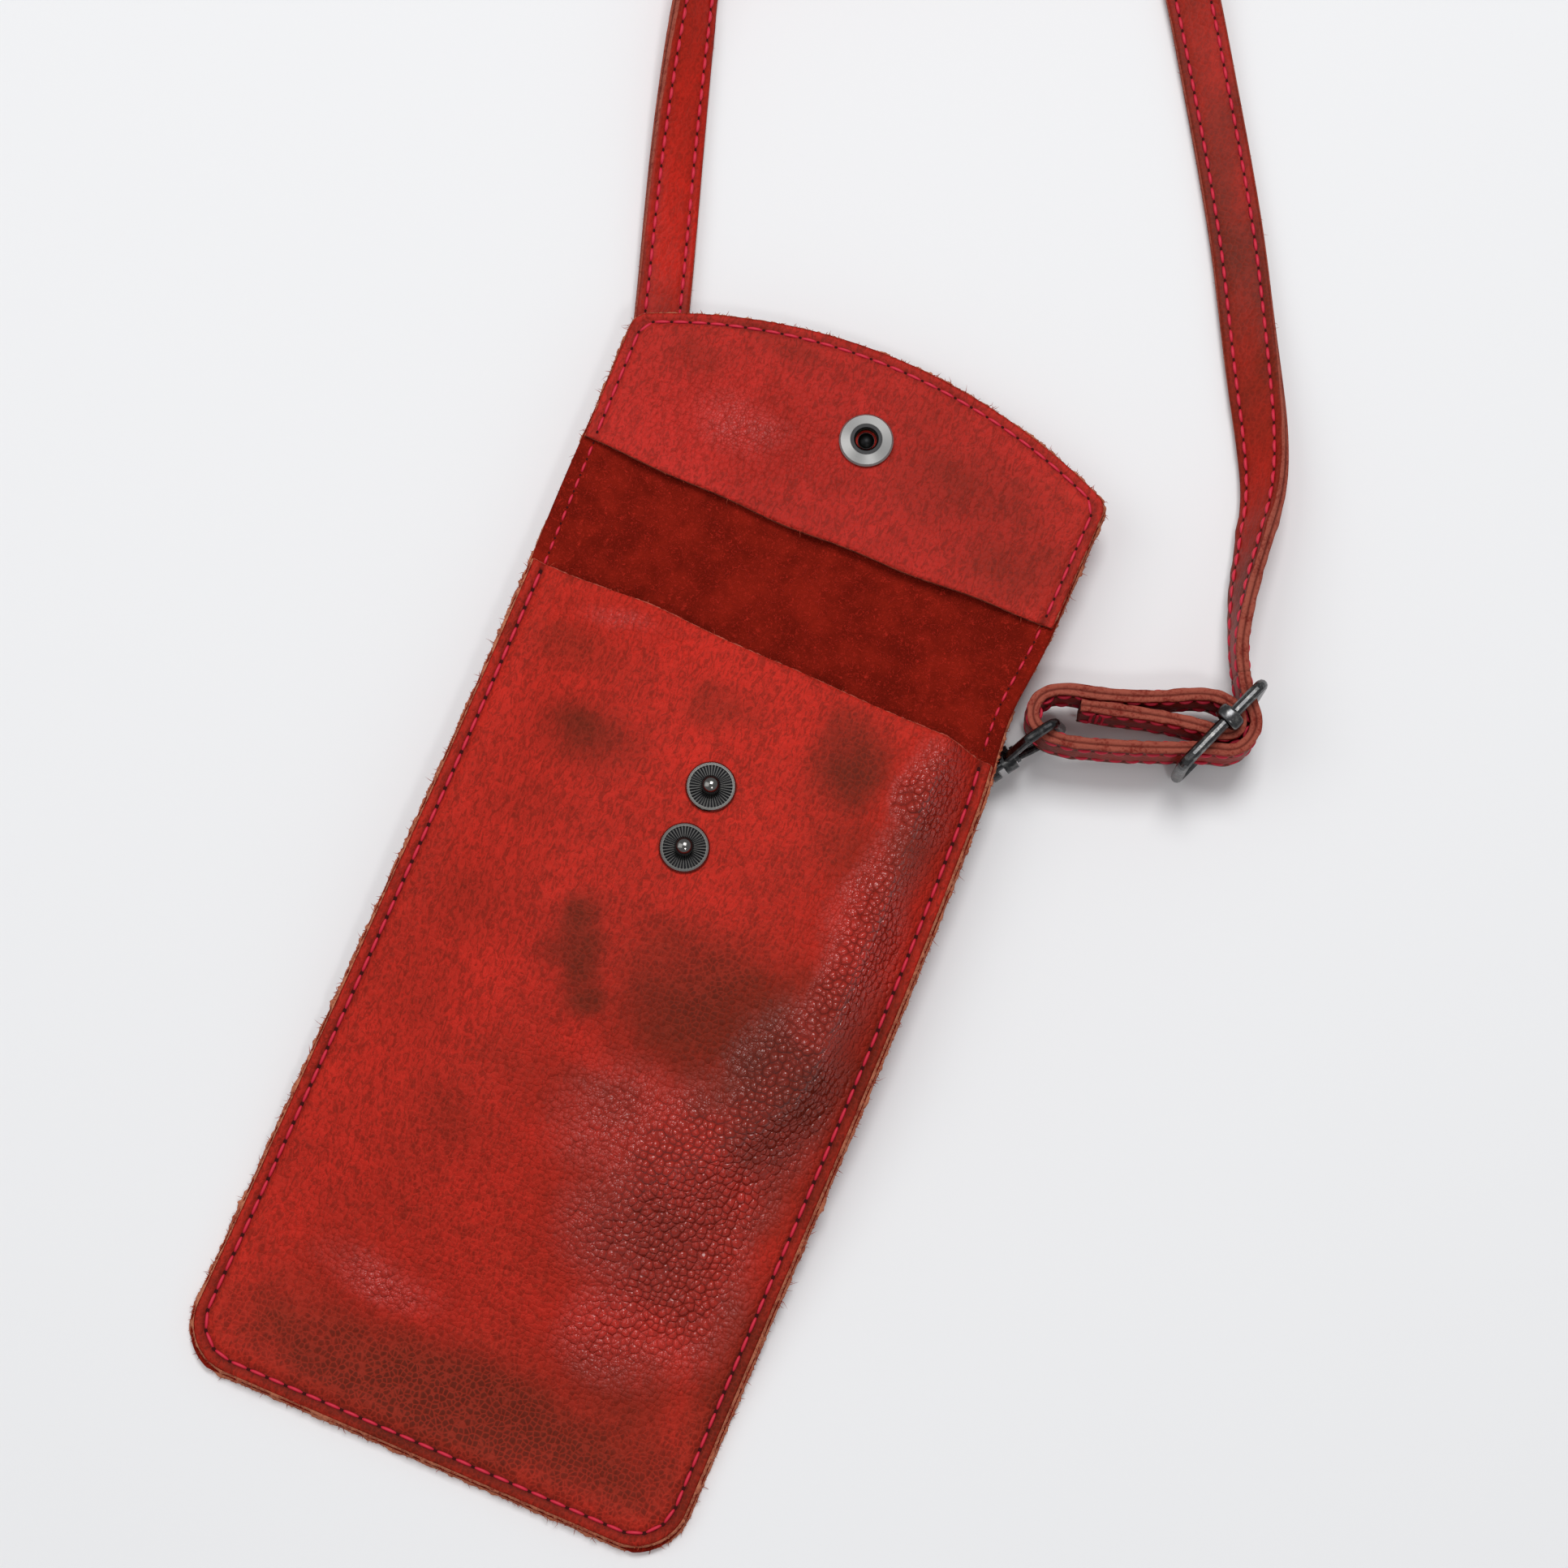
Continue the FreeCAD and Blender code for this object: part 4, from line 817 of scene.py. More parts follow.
mouth_x = np.linspace(MOUTH_HALF, -MOUTH_HALF, 200)
free_half = half_width(FACING_EDGE) - 0.4
free_x = np.linspace(-free_half, free_half, 200)
front_outline = pouch_line(0, mouth_line(-MOUTH_HALF), mouth_line(MOUTH_HALF))
mouth_outline = np.column_stack([mouth_x, mouth_line(mouth_x)])
back_outline = pouch_line(-BACK_PROUD, FOLD_MIDDLE, FOLD_MIDDLE)
free_outline = np.column_stack([free_x, facing_edge(free_x)])
front_rim = rim("front_rim", front_outline, front_bottom, front_top, raw_edge, 101)
mouth_rim = rim("mouth_rim", mouth_outline, front_bottom, front_top, mouth_edge, 111,
                proud=0.12, ragged=0.08, hair_every=3.0, slope=0.5)
back_rim = rim("back_rim", back_outline, back_bottom, back_top, raw_edge, 121)
flap_rim = rim("flap_rim", flap_line(0, FOLD_MIDDLE), back_bottom, back_top, raw_edge, 131)
facing_rim = rim("facing_rim", flap_line(FACING_INSET, FACING_EDGE), facing_bottom, facing_top, raw_edge, 141,
                 proud=0.1, ragged=0.08, hair_every=3.0, slope=0.15)
free_rim = rim("facing_free_rim", free_outline, facing_bottom, facing_top, dark_edge, 151,
               proud=0.08, ragged=0.05, hair_every=6.0, slope=0.1)


def nap(name, low, high, seed, count):
    """Bright fibres lying on the suede of the fold."""
    local = np.random.default_rng(seed)
    x, y = local.uniform(-57, 57, count), local.uniform(low, high, count)
    angle = local.uniform(0, 2 * math.pi, count)
    headings = np.column_stack([np.cos(angle), np.sin(angle), local.uniform(0.05, 0.5, count)])
    lengths = local.uniform(0.5, 1.5, count)
    roots = settled(np.column_stack([x, y, back_top(x, y)]))
    return hairs(name, roots, unit(headings), lengths, NAP_HAIR, red_fibre, seed)


low_nap = nap("fold_nap_low", MOUTH - 2, FOLD_MIDDLE, 161, 420)
high_nap = nap("fold_nap_high", FOLD_MIDDLE, FACING_EDGE, 162, 620)


# Thread

def stitches(name, runs, radius, share, arch):
    """Stitches along runs of places with their up directions: each a closed rod, arched as a parabola between
    two needle holes and thinner toward its ends."""
    sides, rings = 6, 6
    starts = np.concatenate([places[:-1] for places, ups in runs])
    ends = np.concatenate([places[1:] for places, ups in runs])
    length = np.linalg.norm(ends - starts, axis=1)[:, None, None]
    along = unit(ends - starts)[:, None]
    up = unit(np.concatenate([ups[:-1] + ups[1:] for places, ups in runs]))[:, None]
    side = np.cross(along, up)
    position = np.linspace(-0.5, 0.5, rings)[None, :, None]
    thick = radius * (np.sqrt(np.maximum(1 - (2 * position) ** 2, 0)) * 0.55 + 0.45)
    line = (starts + ends)[:, None] / 2 + along * position * share * length
    line = line + up * (arch * (0.4 - (2 * position) ** 2))
    angle = (np.arange(sides) * 2 * math.pi / sides)[None, None, :, None]
    around = np.cos(angle) * side[:, :, None] + np.sin(angle) * up[:, :, None]
    verts = (line[:, :, None] + thick[..., None] * around).reshape(-1, 3)
    quads = grid_faces(rings, sides, close=True, flip=True)
    caps = np.stack([np.arange(sides), np.arange(rings * sides)[:-sides - 1:-1]])
    first = (np.arange(len(starts)) * rings * sides)[:, None, None]
    faces = (quads + first).reshape(-1, 4).tolist() + (caps + first).reshape(-1, sides).tolist()
    return mesh_object(name, verts, faces, [thread])


def needle_holes(name, runs, long, wide):
    """Needle holes as painted shade: small flat dark ovals at the ends of the stitches, long along the run.
    """
    angle = (np.arange(10) * 2 * math.pi / 10)[None, :, None]
    places = np.concatenate([places + ups * 0.05 for places, ups in runs])
    ups = np.concatenate([ups for places, ups in runs])
    alongs = unit(np.concatenate([np.gradient(places, axis=0) for places, ups in runs]))
    ring = long * np.cos(angle) * alongs[:, None] - wide * np.sin(angle) * np.cross(alongs, ups)[:, None]
    verts = (places[:, None] + ring).reshape(-1, 3)
    faces = np.arange(len(places))[:, None] * 10 + np.arange(10)[None, :]
    return mesh_object(name, verts, faces, [needle_hole_shade])


def surface_ups(height, x, y):
    """Unit normals of a height function."""
    step = 0.4
    slope_x = (height(x + step, y) - height(x - step, y)) / (2 * step)
    slope_y = (height(x, y + step) - height(x, y - step)) / (2 * step)
    return unit(np.stack([-slope_x, -slope_y, np.ones_like(x)], 1))


def seam_on(name, line, height, pitch, radius, share, arch, hole, face_side=1, lift=0.1):
    """Row of stitches and its holes on one side of a height function; a negative lift sinks the thread."""
    flat = along_line(line, pitch)
    ups = surface_ups(height, flat[:, 0], flat[:, 1]) * face_side
    places = settled(np.column_stack([flat, height(flat[:, 0], flat[:, 1])]))
    rows = stitches(name, [(places + ups * lift, ups)], radius, share, arch)
    return [rows, needle_holes(name + "_holes", [(places + ups * max(lift, 0), ups)], hole, hole * 0.75)]


def side_line(hand, low, high):
    """Seam line along one side of the fold."""
    y = spread(low, high, 1.0)
    return np.column_stack([hand * (half_width(y) - SEAM), y])


front_line = pouch_line(SEAM, mouth_line(-55.0) - 2, mouth_line(55.0) - 2)
facing_line = flap_line(SEAM, FACING_EDGE + 2)
front_seam = seam_on("front_seam", front_line, front_top,
                     pitch=4.6, radius=0.42, share=0.9, arch=0.35, hole=0.6)
back_seam = seam_on("back_seam", front_line, back_bottom,
                    pitch=4.6, radius=0.36, share=0.9, arch=0.15, hole=0.5, face_side=-1, lift=-0.36)
facing_seam = seam_on("facing_seam", facing_line, facing_top,
                      pitch=4.4, radius=0.38, share=0.86, arch=0.3, hole=0.4)
flap_seam = seam_on("flap_seam", facing_line, back_bottom,
                    pitch=4.4, radius=0.36, share=0.86, arch=0.2, hole=0.4, face_side=-1, lift=-0.1)
low_fold, high_fold = [], []
for hand, label in ((-1, "left"), (1, "right")):
    for part, found, low, high in (("low_", low_fold, MOUTH + 1.5, FOLD_MIDDLE),
                                   ("high_", high_fold, FOLD_MIDDLE, FACING_EDGE - 0.5)):
        found += seam_on("fold_seam_" + part + label, side_line(hand, low, high), back_top,
                         pitch=4.4, radius=0.34, share=0.62, arch=0.3, hole=0.3)


# Strap

COIL_CENTRE, COIL_TURN, COIL_HEIGHT = (-53.6, 452.4), math.radians(22.94), 7.9
COIL_OUTER, COIL_PITCH, COIL_LEAD, FOLD_BACK = 37.0, 6.0, 23.0, 5.0
COIL_INNER = COIL_OUTER - 5 * COIL_PITCH + 2 * FOLD_BACK
LOOP_HEIGHT = 11.25
STRAP_STEP, LOOP_STEP, STITCH_PITCH = 1.0, 0.7, 4.0
SEWN = BACK_RISE - STRAP_THICK / 2
# Points of the strap's route: across, along, height and lean in degrees; the loop stands upright
LEFT_ROUTE = [(-35, 172, SEWN, 0), (-37, 190, SEWN, 0), (-41, 215, 7.8, 2), (-47.5, 242, 4.4, 5),
              (-55.5, 268.5, 3.2, 10), (-62, 288, 3.6, 16), (-69.5, 311, 4.6, 28), (-77.5, 338, 6.0, 45),
              (-82.8, 358.7, 6.8, 62), (-75.9, 376.8, 7.4, 80), (-53.1, 389.7, 7.8, 90),
              (-26.9, 399.7, 7.9, 90), (-13.2, 418.5, 7.9, 90)]
RIGHT_ROUTE = [(4, 426.9, 6.9, 58), (20.2, 407.7, 4.6, 26), (32.3, 390.2, 2.8, 8), (44, 371.5, 2.1, 4),
               (54.5, 354.5, 2.0, 3), (65, 336.7, 2.2, 5), (72.7, 322, 2.7, 9), (80.3, 307.5, 3.9, 20),
               (88, 293, 5.5, 36), (93.3, 280.5, 7.0, 52), (95.3, 268, 8.6, 64), (97.2, 256, 10.0, 74),
               (99.6, 247, 10.9, 84), (101.8, 240.2, 11.25, 90)]
LOOP_ROUTE = [(106.9, 231), (112.2, 225.7), (110.5, 218), (103, 216), (93, 211.6), (82, 207.5), (70.6, 204),
              (63.9, 205.6), (62.3, 211.6), (66.7, 216), (77, 218.3), (88.5, 222.6), (97, 227.3),
              (102.6, 228.4), (107.2, 226.6), (108.5, 222.9), (105.9, 220.2), (101.5, 220.4), (97, 219.8),
              (91, 218.7), (82.5, 216.6), (72.8, 213.9)]


def coil_point(across, along):
    """Point of the coil's own plane, with the strap upright."""
    return (COIL_CENTRE[0] + across * math.cos(COIL_TURN) - along * math.sin(COIL_TURN),
            COIL_CENTRE[1] + across * math.sin(COIL_TURN) + along * math.cos(COIL_TURN), COIL_HEIGHT, 90)


def coil_route():
    """Corners round each half circle of the doubled, coiled strap, 60 degrees apart."""
    inner_centre = COIL_OUTER - 3 * COIL_PITCH - COIL_INNER
    fold_centre = inner_centre - COIL_INNER - FOLD_BACK
    outer, step = COIL_OUTER, COIL_PITCH
    arcs = [(0, outer - step, 0, 180), (-step, outer - 2 * step, 180, 360),
            (inner_centre, COIL_INNER, 0, 180), (fold_centre, FOLD_BACK, 0, -180),
            (0, outer - 2 * step, 180, 0), (-step, outer - step, 360, 180), (0, outer, 180, 0)]
    corners = []
    for centre, radius, first, last in arcs:
        for share in (1 / 6, 3 / 6, 5 / 6):
            angle = math.radians(first + (last - first) * share)
            reach = radius / math.cos(math.radians(30))
            corners.append(coil_point(centre + reach * math.cos(angle), reach * math.sin(angle)))
    return corners


route = LEFT_ROUTE + [coil_point(COIL_OUTER - COIL_PITCH, -COIL_LEAD)] + coil_route()
route += [coil_point(COIL_OUTER, -COIL_LEAD)[:3] + (80,)] + RIGHT_ROUTE
split_point = len(route) - 1
route += [point + (LOOP_HEIGHT, 90) for point in LOOP_ROUTE]


def spline_points(points):
    """Points along a smooth spline that has the given points as its control points."""
    curve = bpy.data.curves.new("strap_line", "CURVE")
    curve.dimensions = "3D"
    curve.resolution_u = 14
    spline = curve.splines.new("NURBS")
    spline.points.add(len(points) - 1)
    for control, point in zip(spline.points, points):
        control.co = (*point, 1)
    spline.order_u = 3
    spline.use_endpoint_u = True
    thing = bpy.data.objects.new("strap_line", curve)
    bpy.context.scene.collection.objects.link(thing)
    bpy.context.view_layer.update()
    line = bpy.data.meshes.new_from_object(thing.evaluated_get(bpy.context.evaluated_depsgraph_get()))
    found = np.array([vertex.co for vertex in line.vertices], float)
    bpy.data.objects.remove(thing)
    bpy.data.meshes.remove(line)
    return found


def strap_frames(line):
    """Heading, width and thickness directions of a strap that leans along its line."""
    heading = unit(np.gradient(line[:, :3], axis=0))
    level = unit(np.stack([-heading[:, 1], heading[:, 0], 0 * heading[:, 0]], 1))
    angle = np.radians(line[:, 3])[:, None]
    wide = level * np.cos(angle) + np.cross(heading, level) * np.sin(angle)
    return heading, wide, np.cross(heading, wide)


def strap_profile():
    """Rounded rectangle of two layers: faces domed as a parabola, bell-curve grooves at the stitches, a notch
    along each edge."""
    w, t = STRAP_WIDTH / 2, STRAP_THICK / 2
    upper = []
    for share in np.linspace(-0.95, 0.95, 15):
        groove = 0.22 * math.exp(-((abs(share * w) - STRAP_SEAM) / 0.7) ** 2)
        upper.append((share * w, t * (0.94 + 0.06 * (1 - share * share)) - groove))
    edge = [(w - 0.05, t * 0.72), (w, t * 0.3), (w - 0.35, 0.0), (w, -t * 0.3), (w - 0.05, -t * 0.72)]
    ring = upper + edge
    slots = [0] * (len(upper) - 1) + [1] * (len(edge) + 1)
    return np.array(ring + [(-x, -y) for x, y in ring]), slots * 2


def strap_piece(name, line, worn_from):
    """Strap's profile carried along part of the line: cross creases, rubbed edges, closed ends, browner past
    a row."""
    heading, wide, deep = strap_frames(line)
    profile, slots = strap_profile()
    rows, columns = len(line), len(profile)
    v = np.repeat(profile[None, :, 0], rows, 0)
    s = np.repeat(np.arange(rows)[:, None] * 1.0, columns, 1)
    worn = smooth(worn_from, worn_from + 60, s)
    crease = wobble(rows, 1.0, 2.4, 171)[:, None] * 0.06 + 0.05 * bumps(s, v, 7, 172, 2)
    thick = profile[None, :, 1] * (1 + crease * (np.abs(profile[None, :, 1]) > STRAP_THICK * 0.4))
    verts = line[:, None, :3] + wide[:, None] * v[..., None] + deep[:, None] * thick[..., None]
    faces = grid_faces(rows, columns, close=True, flip=True).tolist()
    faces.append(list(range(columns)))
    faces.append([(rows - 1) * columns + k for k in range(columns - 1, -1, -1)])
    dark = 0.12 + 0.4 * bumps(s, v * 2, 55, 31, 3) + 0.35 * smooth(4.4, 6.3, np.abs(v)) + 0.5 * worn
    layer = hump(profile[None, :, 1] / STRAP_THICK, 0, 0.06) * (np.abs(v) > STRAP_WIDTH * 0.4)
    # The seam mark paints shade into the grooves along the strap's stitches.
    marks = {"burnish_and_shade": np.clip(dark, 0, 1), "coarse": 0.25 * smooth(0.2, 0.8, bumps(s, v, 40, 33, 2)),
             "net": 0.25 + 0 * v, "layer": 0.8 * layer,
             "seam": 0.55 * hump(np.abs(v), STRAP_SEAM, 0.5)}
    looks = [strap_leather, strap_edge]
    return mesh_object(name, verts.reshape(-1, 3), faces, looks, slots * (rows - 1) + [1, 1], marks)


def strap_thread(name, line):
    """Four rows of stitches on a stretch of strap: two on each face."""
    heading, wide, deep = strap_frames(line)
    runs = []
    for edge, face_side in ((-1, 1), (1, 1), (-1, -1), (1, -1)):
        offset = line[:, :3] + wide * edge * STRAP_SEAM + deep * face_side * (STRAP_THICK / 2 - 0.12)
        spaced = along_line(np.concatenate([offset, deep * face_side], 1), STITCH_PITCH, 3)
        runs.append((spaced[:, :3], unit(spaced[:, 3:])))
    return [stitches(name, runs, 0.45, 0.8, 0.3), needle_holes(name + "_holes", runs, 0.42, 0.3)]


def cross_rows(name, line, stations, count):
    """Rows of stitches across both faces of the strap at stations of its line."""
    heading, wide, deep = strap_frames(line)
    reach = np.linspace(-STRAP_SEAM, STRAP_SEAM, count)[:, None]
    runs = []
    for at in stations:
        for face_side in (-1, 1):
            up = np.repeat(deep[at][None] * face_side, count, 0)
            runs.append((line[at, :3] + wide[at] * reach + up * (STRAP_THICK / 2 - 0.02), up))
    return stitches(name, runs, 0.4, 0.86, 0.25)


def strap_fibres(name, line, seed):
    """Loose fibres on both edges of the strap."""
    heading, wide, deep = strap_frames(line)
    local = np.random.default_rng(seed)
    count = int(len(line) * 0.35)
    at = local.integers(1, len(line) - 1, count)
    hand = local.choice([-1.0, 1.0], count)[:, None]
    level = local.uniform(-0.8, 0.8, (count, 1)) * STRAP_THICK / 2
    roots = line[at, :3] + wide[at] * hand * (STRAP_WIDTH / 2 - 0.1) + deep[at] * level
    aim = wide[at] * hand + heading[at] * local.normal(size=(count, 1)) * 0.9
    aim += deep[at] * local.normal(size=(count, 1)) * 0.4
    lengths = 0.2 + local.exponential(0.3, count).clip(0, 1.0)
    return hairs(name, roots, unit(aim), lengths, STRAP_HAIR, edge_fibre, seed)


centre_line = np.column_stack([spline_points([point[:3] for point in route]),
                               spline_points([(point[3], 0, 0) for point in route])[:, 0]])
split_place = (np.array(route[split_point][:3]) + np.array(route[split_point + 1][:3])) / 2
split = int(np.argmin(np.linalg.norm(centre_line[:, :3] - split_place, axis=1)))
strap_line = along_line(centre_line[:split + 1], STRAP_STEP, 3)
loop_line = along_line(centre_line[split:], LOOP_STEP, 3)
strap = strap_piece("shoulder_strap", strap_line, len(strap_line) - 190)
loop = strap_piece("strap_end_loop", loop_line, -60)
strap_rows = strap_thread("strap_stitch", strap_line) + [strap_fibres("strap_fibres", strap_line, 181)]
loop_rows = strap_thread("loop_stitch", loop_line) + [strap_fibres("loop_fibres", loop_line, 182)]
loop_rows.append(cross_rows("tail_tack", loop_line, (-5, -7, -9), 6))
sewn_rows = cross_rows("sewn_rows", strap_line, (3, 21), 4)


# Small leather pieces

def band_round(name, line, wide, width, thick, look, closed):
    """Flat band along a line in one plane, with rounded edges; an open band gets end faces."""
    line = np.asarray(line, float)
    heading = unit(np.roll(line, -1, 0) - np.roll(line, 1, 0) if closed else np.gradient(line, axis=0))
    deep = np.cross(heading, wide)
    w, t = width / 2, thick / 2
    profile = np.array([(-w * 0.97, t), (0, t), (w * 0.97, t), (w, t * 0.5), (w, -t * 0.5),
                        (w * 0.97, -t), (0, -t), (-w * 0.97, -t), (-w, -t * 0.5), (-w, t * 0.5)])
    verts = line[:, None] + wide * profile[None, :, 0, None] + deep[:, None] * profile[None, :, 1, None]
    rows, columns = len(line), len(profile)
    k = np.arange(columns)
    last = (rows - 1) * columns
    faces = grid_faces(rows, columns, close=True, flip=True).tolist()
    if closed:
        n = (k + 1) % columns
        faces += np.stack([k, n, last + n, last + k], -1).tolist()
    else:
        faces += [k.tolist(), (last + k[::-1]).tolist()]
    marks = even_marks(rows * columns, 0.3)
    return mesh_object(name, verts.reshape(-1, 3), faces, [look], None, marks)


TIE_WIDTH, TIE_THICK, TIE_OUT, TIE_CORNER, TIE_BESIDE = 6.0, 0.9, 0.75, 0.8, 5.0


def tie_band():
    """Tie round the windings of the coil, a rounded rectangle upright across them."""
    low = math.sqrt((COIL_INNER - STRAP_THICK / 2) ** 2 - TIE_BESIDE ** 2) - TIE_OUT
    high = COIL_OUTER + STRAP_THICK / 2 + TIE_OUT
    tall = STRAP_WIDTH / 2 + TIE_OUT
    corner = TIE_CORNER
    line = []
    for cx, cy, start in ((high - corner, tall - corner, 0), (low + corner, tall - corner, 90),
                          (low + corner, corner - tall, 180), (high - corner, corner - tall, 270)):
        for angle in np.radians(start + np.linspace(0, 90, 5)):
            x, y, z, lean = coil_point(0, cx + corner * math.cos(angle))
            line.append((x, y, z + cy + corner * math.sin(angle)))
    wide = np.array([math.cos(COIL_TURN), math.sin(COIL_TURN), 0])
    return band_round("tie_leather", line, wide, TIE_WIDTH, TIE_THICK, strap_leather, True)


HOOK_PLACE, HOOK_TURN, HOOK_TILT = (60.7, 195.7, 8.55), math.radians(54.8), math.radians(12)
RING_ALONG, RING_REACH = -17.4, 12.0
TAB_WIDTH, TAB_LEATHER, TAB_GAP, TAB_BEND = 12.0, 1.4, 0.1, 1.95


def ring_tab():
    """Doubled tab behind the pouch: two layers and a turn round the bar of the ring; two rows of stitches."""
    heading = np.array([math.cos(HOOK_TURN), math.sin(HOOK_TURN), 0])
    across = np.array([-math.sin(HOOK_TURN), math.cos(HOOK_TURN), 0])
    bar = np.array(HOOK_PLACE) + heading * (RING_ALONG * math.cos(HOOK_TILT) - RING_REACH)
    bar[2] += RING_ALONG * math.sin(HOOK_TILT)
    upper = BACK_RISE - TAB_LEATHER / 2 - bar[2]
    lower = upper - TAB_LEATHER - TAB_GAP
    line = [(-24, upper), (-16, upper), (-10, upper), (-7, upper - 0.6), (-3, upper - 2.4)]
    turn = np.radians(np.linspace(70, -125, 14))
    line += [(TAB_BEND * math.cos(angle), TAB_BEND * math.sin(angle)) for angle in turn]
    line += [(-5.5, lower - 2.2), (-8, lower - 0.5), (-10.5, lower), (-16, lower), (-24, lower)]
    places = [bar + heading * forward + np.array([0, 0, up]) for forward, up in line]
    down = np.repeat(np.array([[0, 0, -1.0]]), 4, 0)
    reach = across * np.linspace(-4.2, 4.2, 4)[:, None] + np.array([0, 0, lower - TAB_LEATHER / 2])
    runs = [(bar + heading * forward + reach, down) for forward in (-22, -12.5)]
    leather = band_round("ring_tab_leather", places, across, TAB_WIDTH, TAB_LEATHER, front_leather, False)
    return leather, stitches("tab_rows", runs, 0.36, 0.84, 0.25)


SLIDER_PLACE, SLIDER_TURN, BAR_ALONG = (104.3, 221.9), math.radians(68.5), 2.0
SLIDER_LOW, SLIDER_HIGH, BAR_RADIUS = 2.3, 20.3, 1.2
KNUCKLE_BORE, KNUCKLE_ACROSS, KNUCKLE_UP, KNUCKLE_LONG = 1.6, 3.3, 2.2, 1.7
BAR_INSIDE, BAR_STEP = 1.8, 6.0


def squared(wave):
    """Sine or cosine drawn toward a square wave, which makes a circle a rounded square."""
    return np.sign(wave) * np.abs(wave) ** 0.7


def slider_bar():
    """Bar of the slider: a round post whose ends turn about the frame's wire as knuckles, each a rounded
    square carried round an ellipse."""
    turn, roll = np.radians(np.arange(0, 360, 12)), np.radians(np.arange(0, 360, 30))
    outside = 1 / np.sqrt((np.cos(turn) / KNUCKLE_ACROSS) ** 2 + (np.sin(turn) / KNUCKLE_UP) ** 2)
    middle, half = (outside + KNUCKLE_BORE) / 2, (outside - KNUCKLE_BORE) / 2
    reach = middle[:, None] + half[:, None] * squared(np.cos(roll))
    along = BAR_ALONG + KNUCKLE_LONG * squared(np.sin(roll)) + 0 * reach
    ring = np.stack([along, reach * np.cos(turn)[:, None], reach * np.sin(turn)[:, None]], -1)
    ring_faces = grid_faces(len(turn) + 1, len(roll), close=True, flip=True) % (len(turn) * len(roll))
    angle = np.radians(np.arange(0, 360, 22.5))
    levels = np.array([SLIDER_LOW + BAR_INSIDE, SLIDER_LOW + BAR_STEP,
                       SLIDER_HIGH - BAR_STEP, SLIDER_HIGH - BAR_INSIDE])
    rows, sides = len(levels), len(angle)
    round_x, round_y = BAR_ALONG + BAR_RADIUS * np.cos(angle), BAR_RADIUS * np.sin(angle)
    post = np.stack([np.tile(round_x, (rows, 1)), np.tile(round_y, (rows, 1)),
                     np.repeat(levels[:, None], sides, 1)], -1)
    parts = [(post, grid_faces(rows, sides, close=True)), (ring + (0, 0, SLIDER_LOW), ring_faces),
             (ring + (0, 0, SLIDER_HIGH), ring_faces)]
    post_ends = [list(range(sides))[::-1], list(range((rows - 1) * sides, rows * sides))]
    verts, faces, start = [], post_ends, 0
    for points, corners in parts:
        flat = points.reshape(-1, 3)
        verts.append(flat)
        faces += (corners + start).tolist()
        start += len(flat)
    verts = np.concatenate(verts)
    x = SLIDER_PLACE[0] + verts[:, 0] * math.cos(SLIDER_TURN) - verts[:, 1] * math.sin(SLIDER_TURN)
    y = SLIDER_PLACE[1] + verts[:, 0] * math.sin(SLIDER_TURN) + verts[:, 1] * math.cos(SLIDER_TURN)
    return mesh_object("slider_knuckles", np.column_stack([x, y, verts[:, 2]]), faces, [gunmetal])


tie = tie_band()
tab, tab_rows = ring_tab()
knuckles = slider_bar()


# What moves with what

BEND_HALF = 6.0


def row_point(x, y, z):
    """One point of the shared frame."""
    return tuple(row([[x, y, z]])[0])


for thing in (front, *front_rim, *mouth_rim, *front_seam, *back_seam, tab, tab_rows, tie, sewn_rows):
    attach(thing, "pouch")
for thing in (face, *facing_rim, *free_rim, *facing_seam, *flap_seam):
    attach(thing, "flap")
for thing in (back, *back_rim, *low_fold, low_nap):
    row_point(0, HINGE_ONE - BEND_HALF, 0)
    row_point(0, HINGE_ONE + BEND_HALF, 0)
    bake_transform(thing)
for thing in (flap, *flap_rim, *high_fold, high_nap):
    row_point(0, HINGE_TWO - BEND_HALF, 0)
    row_point(0, HINGE_TWO + BEND_HALF, 0)
    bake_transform(thing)
for thing in (loop, *loop_rows, knuckles):
    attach(thing, "strap_end")
for thing in (strap, *strap_rows):
    row_point(62, 300, 0)
    row_point(102, 300, 0)
    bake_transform(thing)

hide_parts("front_panel")
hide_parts("back_panel", "fold_strip")
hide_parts("flap")
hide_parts("flap_facing")
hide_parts("ring_tab")
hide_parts("strap_tie")
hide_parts("strap_left", "strap_coil", "strap_right")
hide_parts("strap_loop")
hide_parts("slider_bar")
row_point(*LEFT_ROUTE[0][:3])
row(centre_line[:split + 1, :3]).tolist()


# Table, light and camera

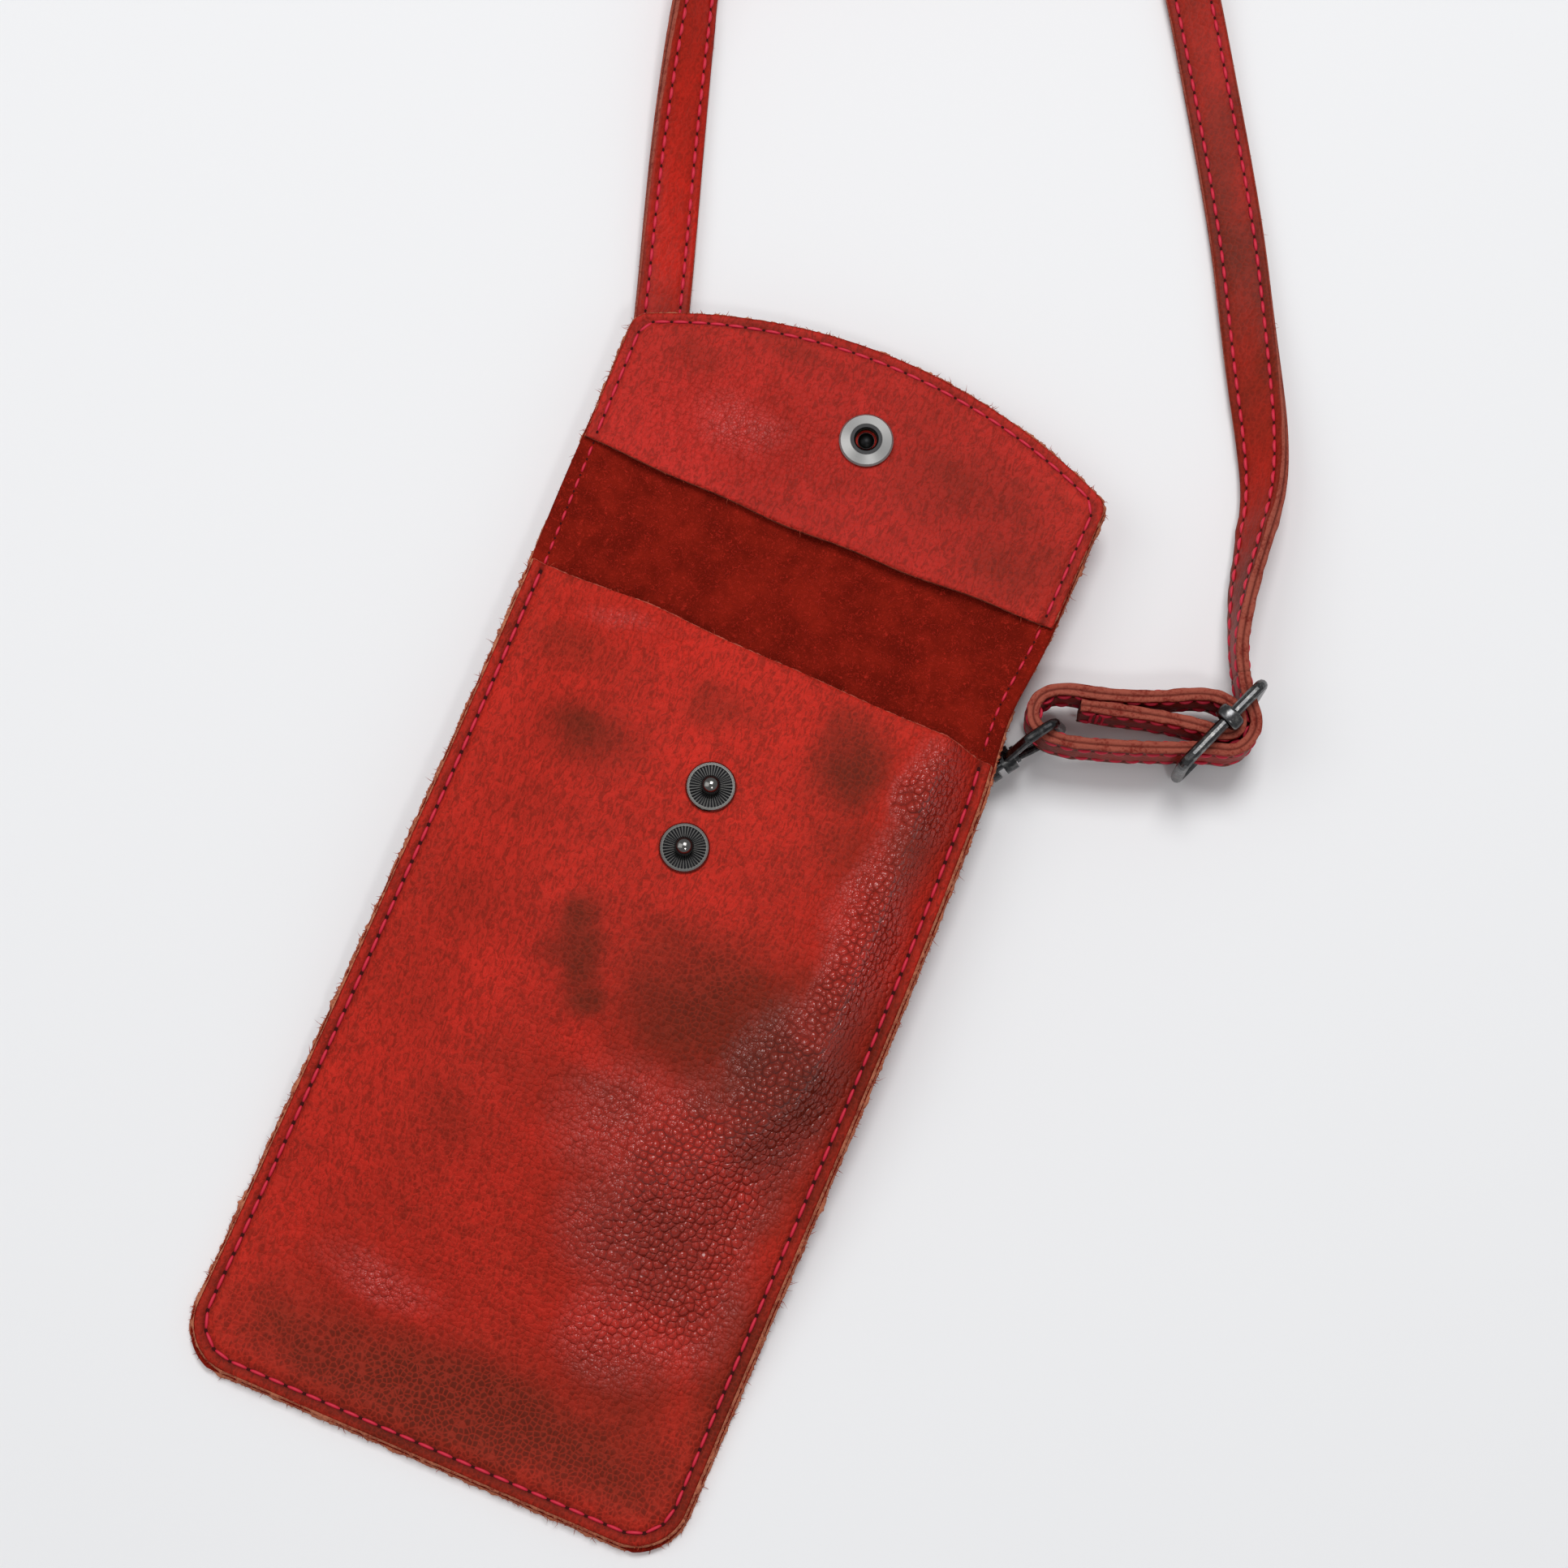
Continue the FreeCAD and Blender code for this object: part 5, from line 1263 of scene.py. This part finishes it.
def table_top():
    """Pale table top: one square face with its middle at the shared origin."""
    half = 6000.0
    corners = [(-half, HALF_LENGTH - half, 0), (half, HALF_LENGTH - half, 0),
               (half, HALF_LENGTH + half, 0), (-half, HALF_LENGTH + half, 0)]
    look = material("table_top", (0.86, 0.86, 0.87), 0.75)[0]
    return mesh_object("table", corners, [[0, 1, 2, 3]], [look])


def area_light(name, place, target, across, power):
    """Soft square light turned toward a point."""
    light = bpy.data.lights.new(name, "AREA")
    light.size = across
    light.energy = power
    thing = bpy.data.objects.new(name, light)
    thing.location = place
    thing.rotation_euler = (Vector(target) - Vector(place)).to_track_quat("-Z", "Y").to_euler()
    bpy.context.scene.collection.objects.link(thing)


table_top()
area_light("lamp", place=(0.40, -0.32, 1.1), target=(0.02, -0.05, 0.0), across=0.14, power=1.6)
area_light("ceiling", place=(-0.1, 0.75, 1.5), target=(0.0, 0.05, 0.0), across=0.65, power=14)
area_light("bounce", place=(-0.9, -0.1, 1.2), target=(0.0, 0.0, 0.0), across=1.0, power=4)
world = bpy.data.worlds.new("room")
world.use_nodes = True
world.node_tree.nodes["Background"].inputs[0].default_value = (0.96, 0.98, 1.0, 1)
world.node_tree.nodes["Background"].inputs[1].default_value = 0.35
bpy.context.scene.world = world
bpy.context.scene.view_settings.view_transform = "Standard"

AZIMUTH, ELEVATION, DISTANCE = math.radians(22.938), math.radians(79.0), 812.93
TARGET = np.array([16.0, 173.52, 0.0])
SENSOR, LENS_PIXELS, PICTURE_PIXELS = 36, 4300, 1932
level_reach = math.cos(ELEVATION)
toward = np.array([math.sin(AZIMUTH) * level_reach, -math.cos(AZIMUTH) * level_reach, math.sin(ELEVATION)])
camera = bpy.data.objects.new("camera", bpy.data.cameras.new("camera"))
camera.data.sensor_width = SENSOR
camera.data.lens = LENS_PIXELS / PICTURE_PIXELS * SENSOR
camera.location = row([TARGET + toward * DISTANCE])[0]
camera.rotation_euler = (-Vector(toward)).to_track_quat("-Z", "Y").to_euler()
bpy.context.scene.collection.objects.link(camera)
bpy.context.scene.camera = camera
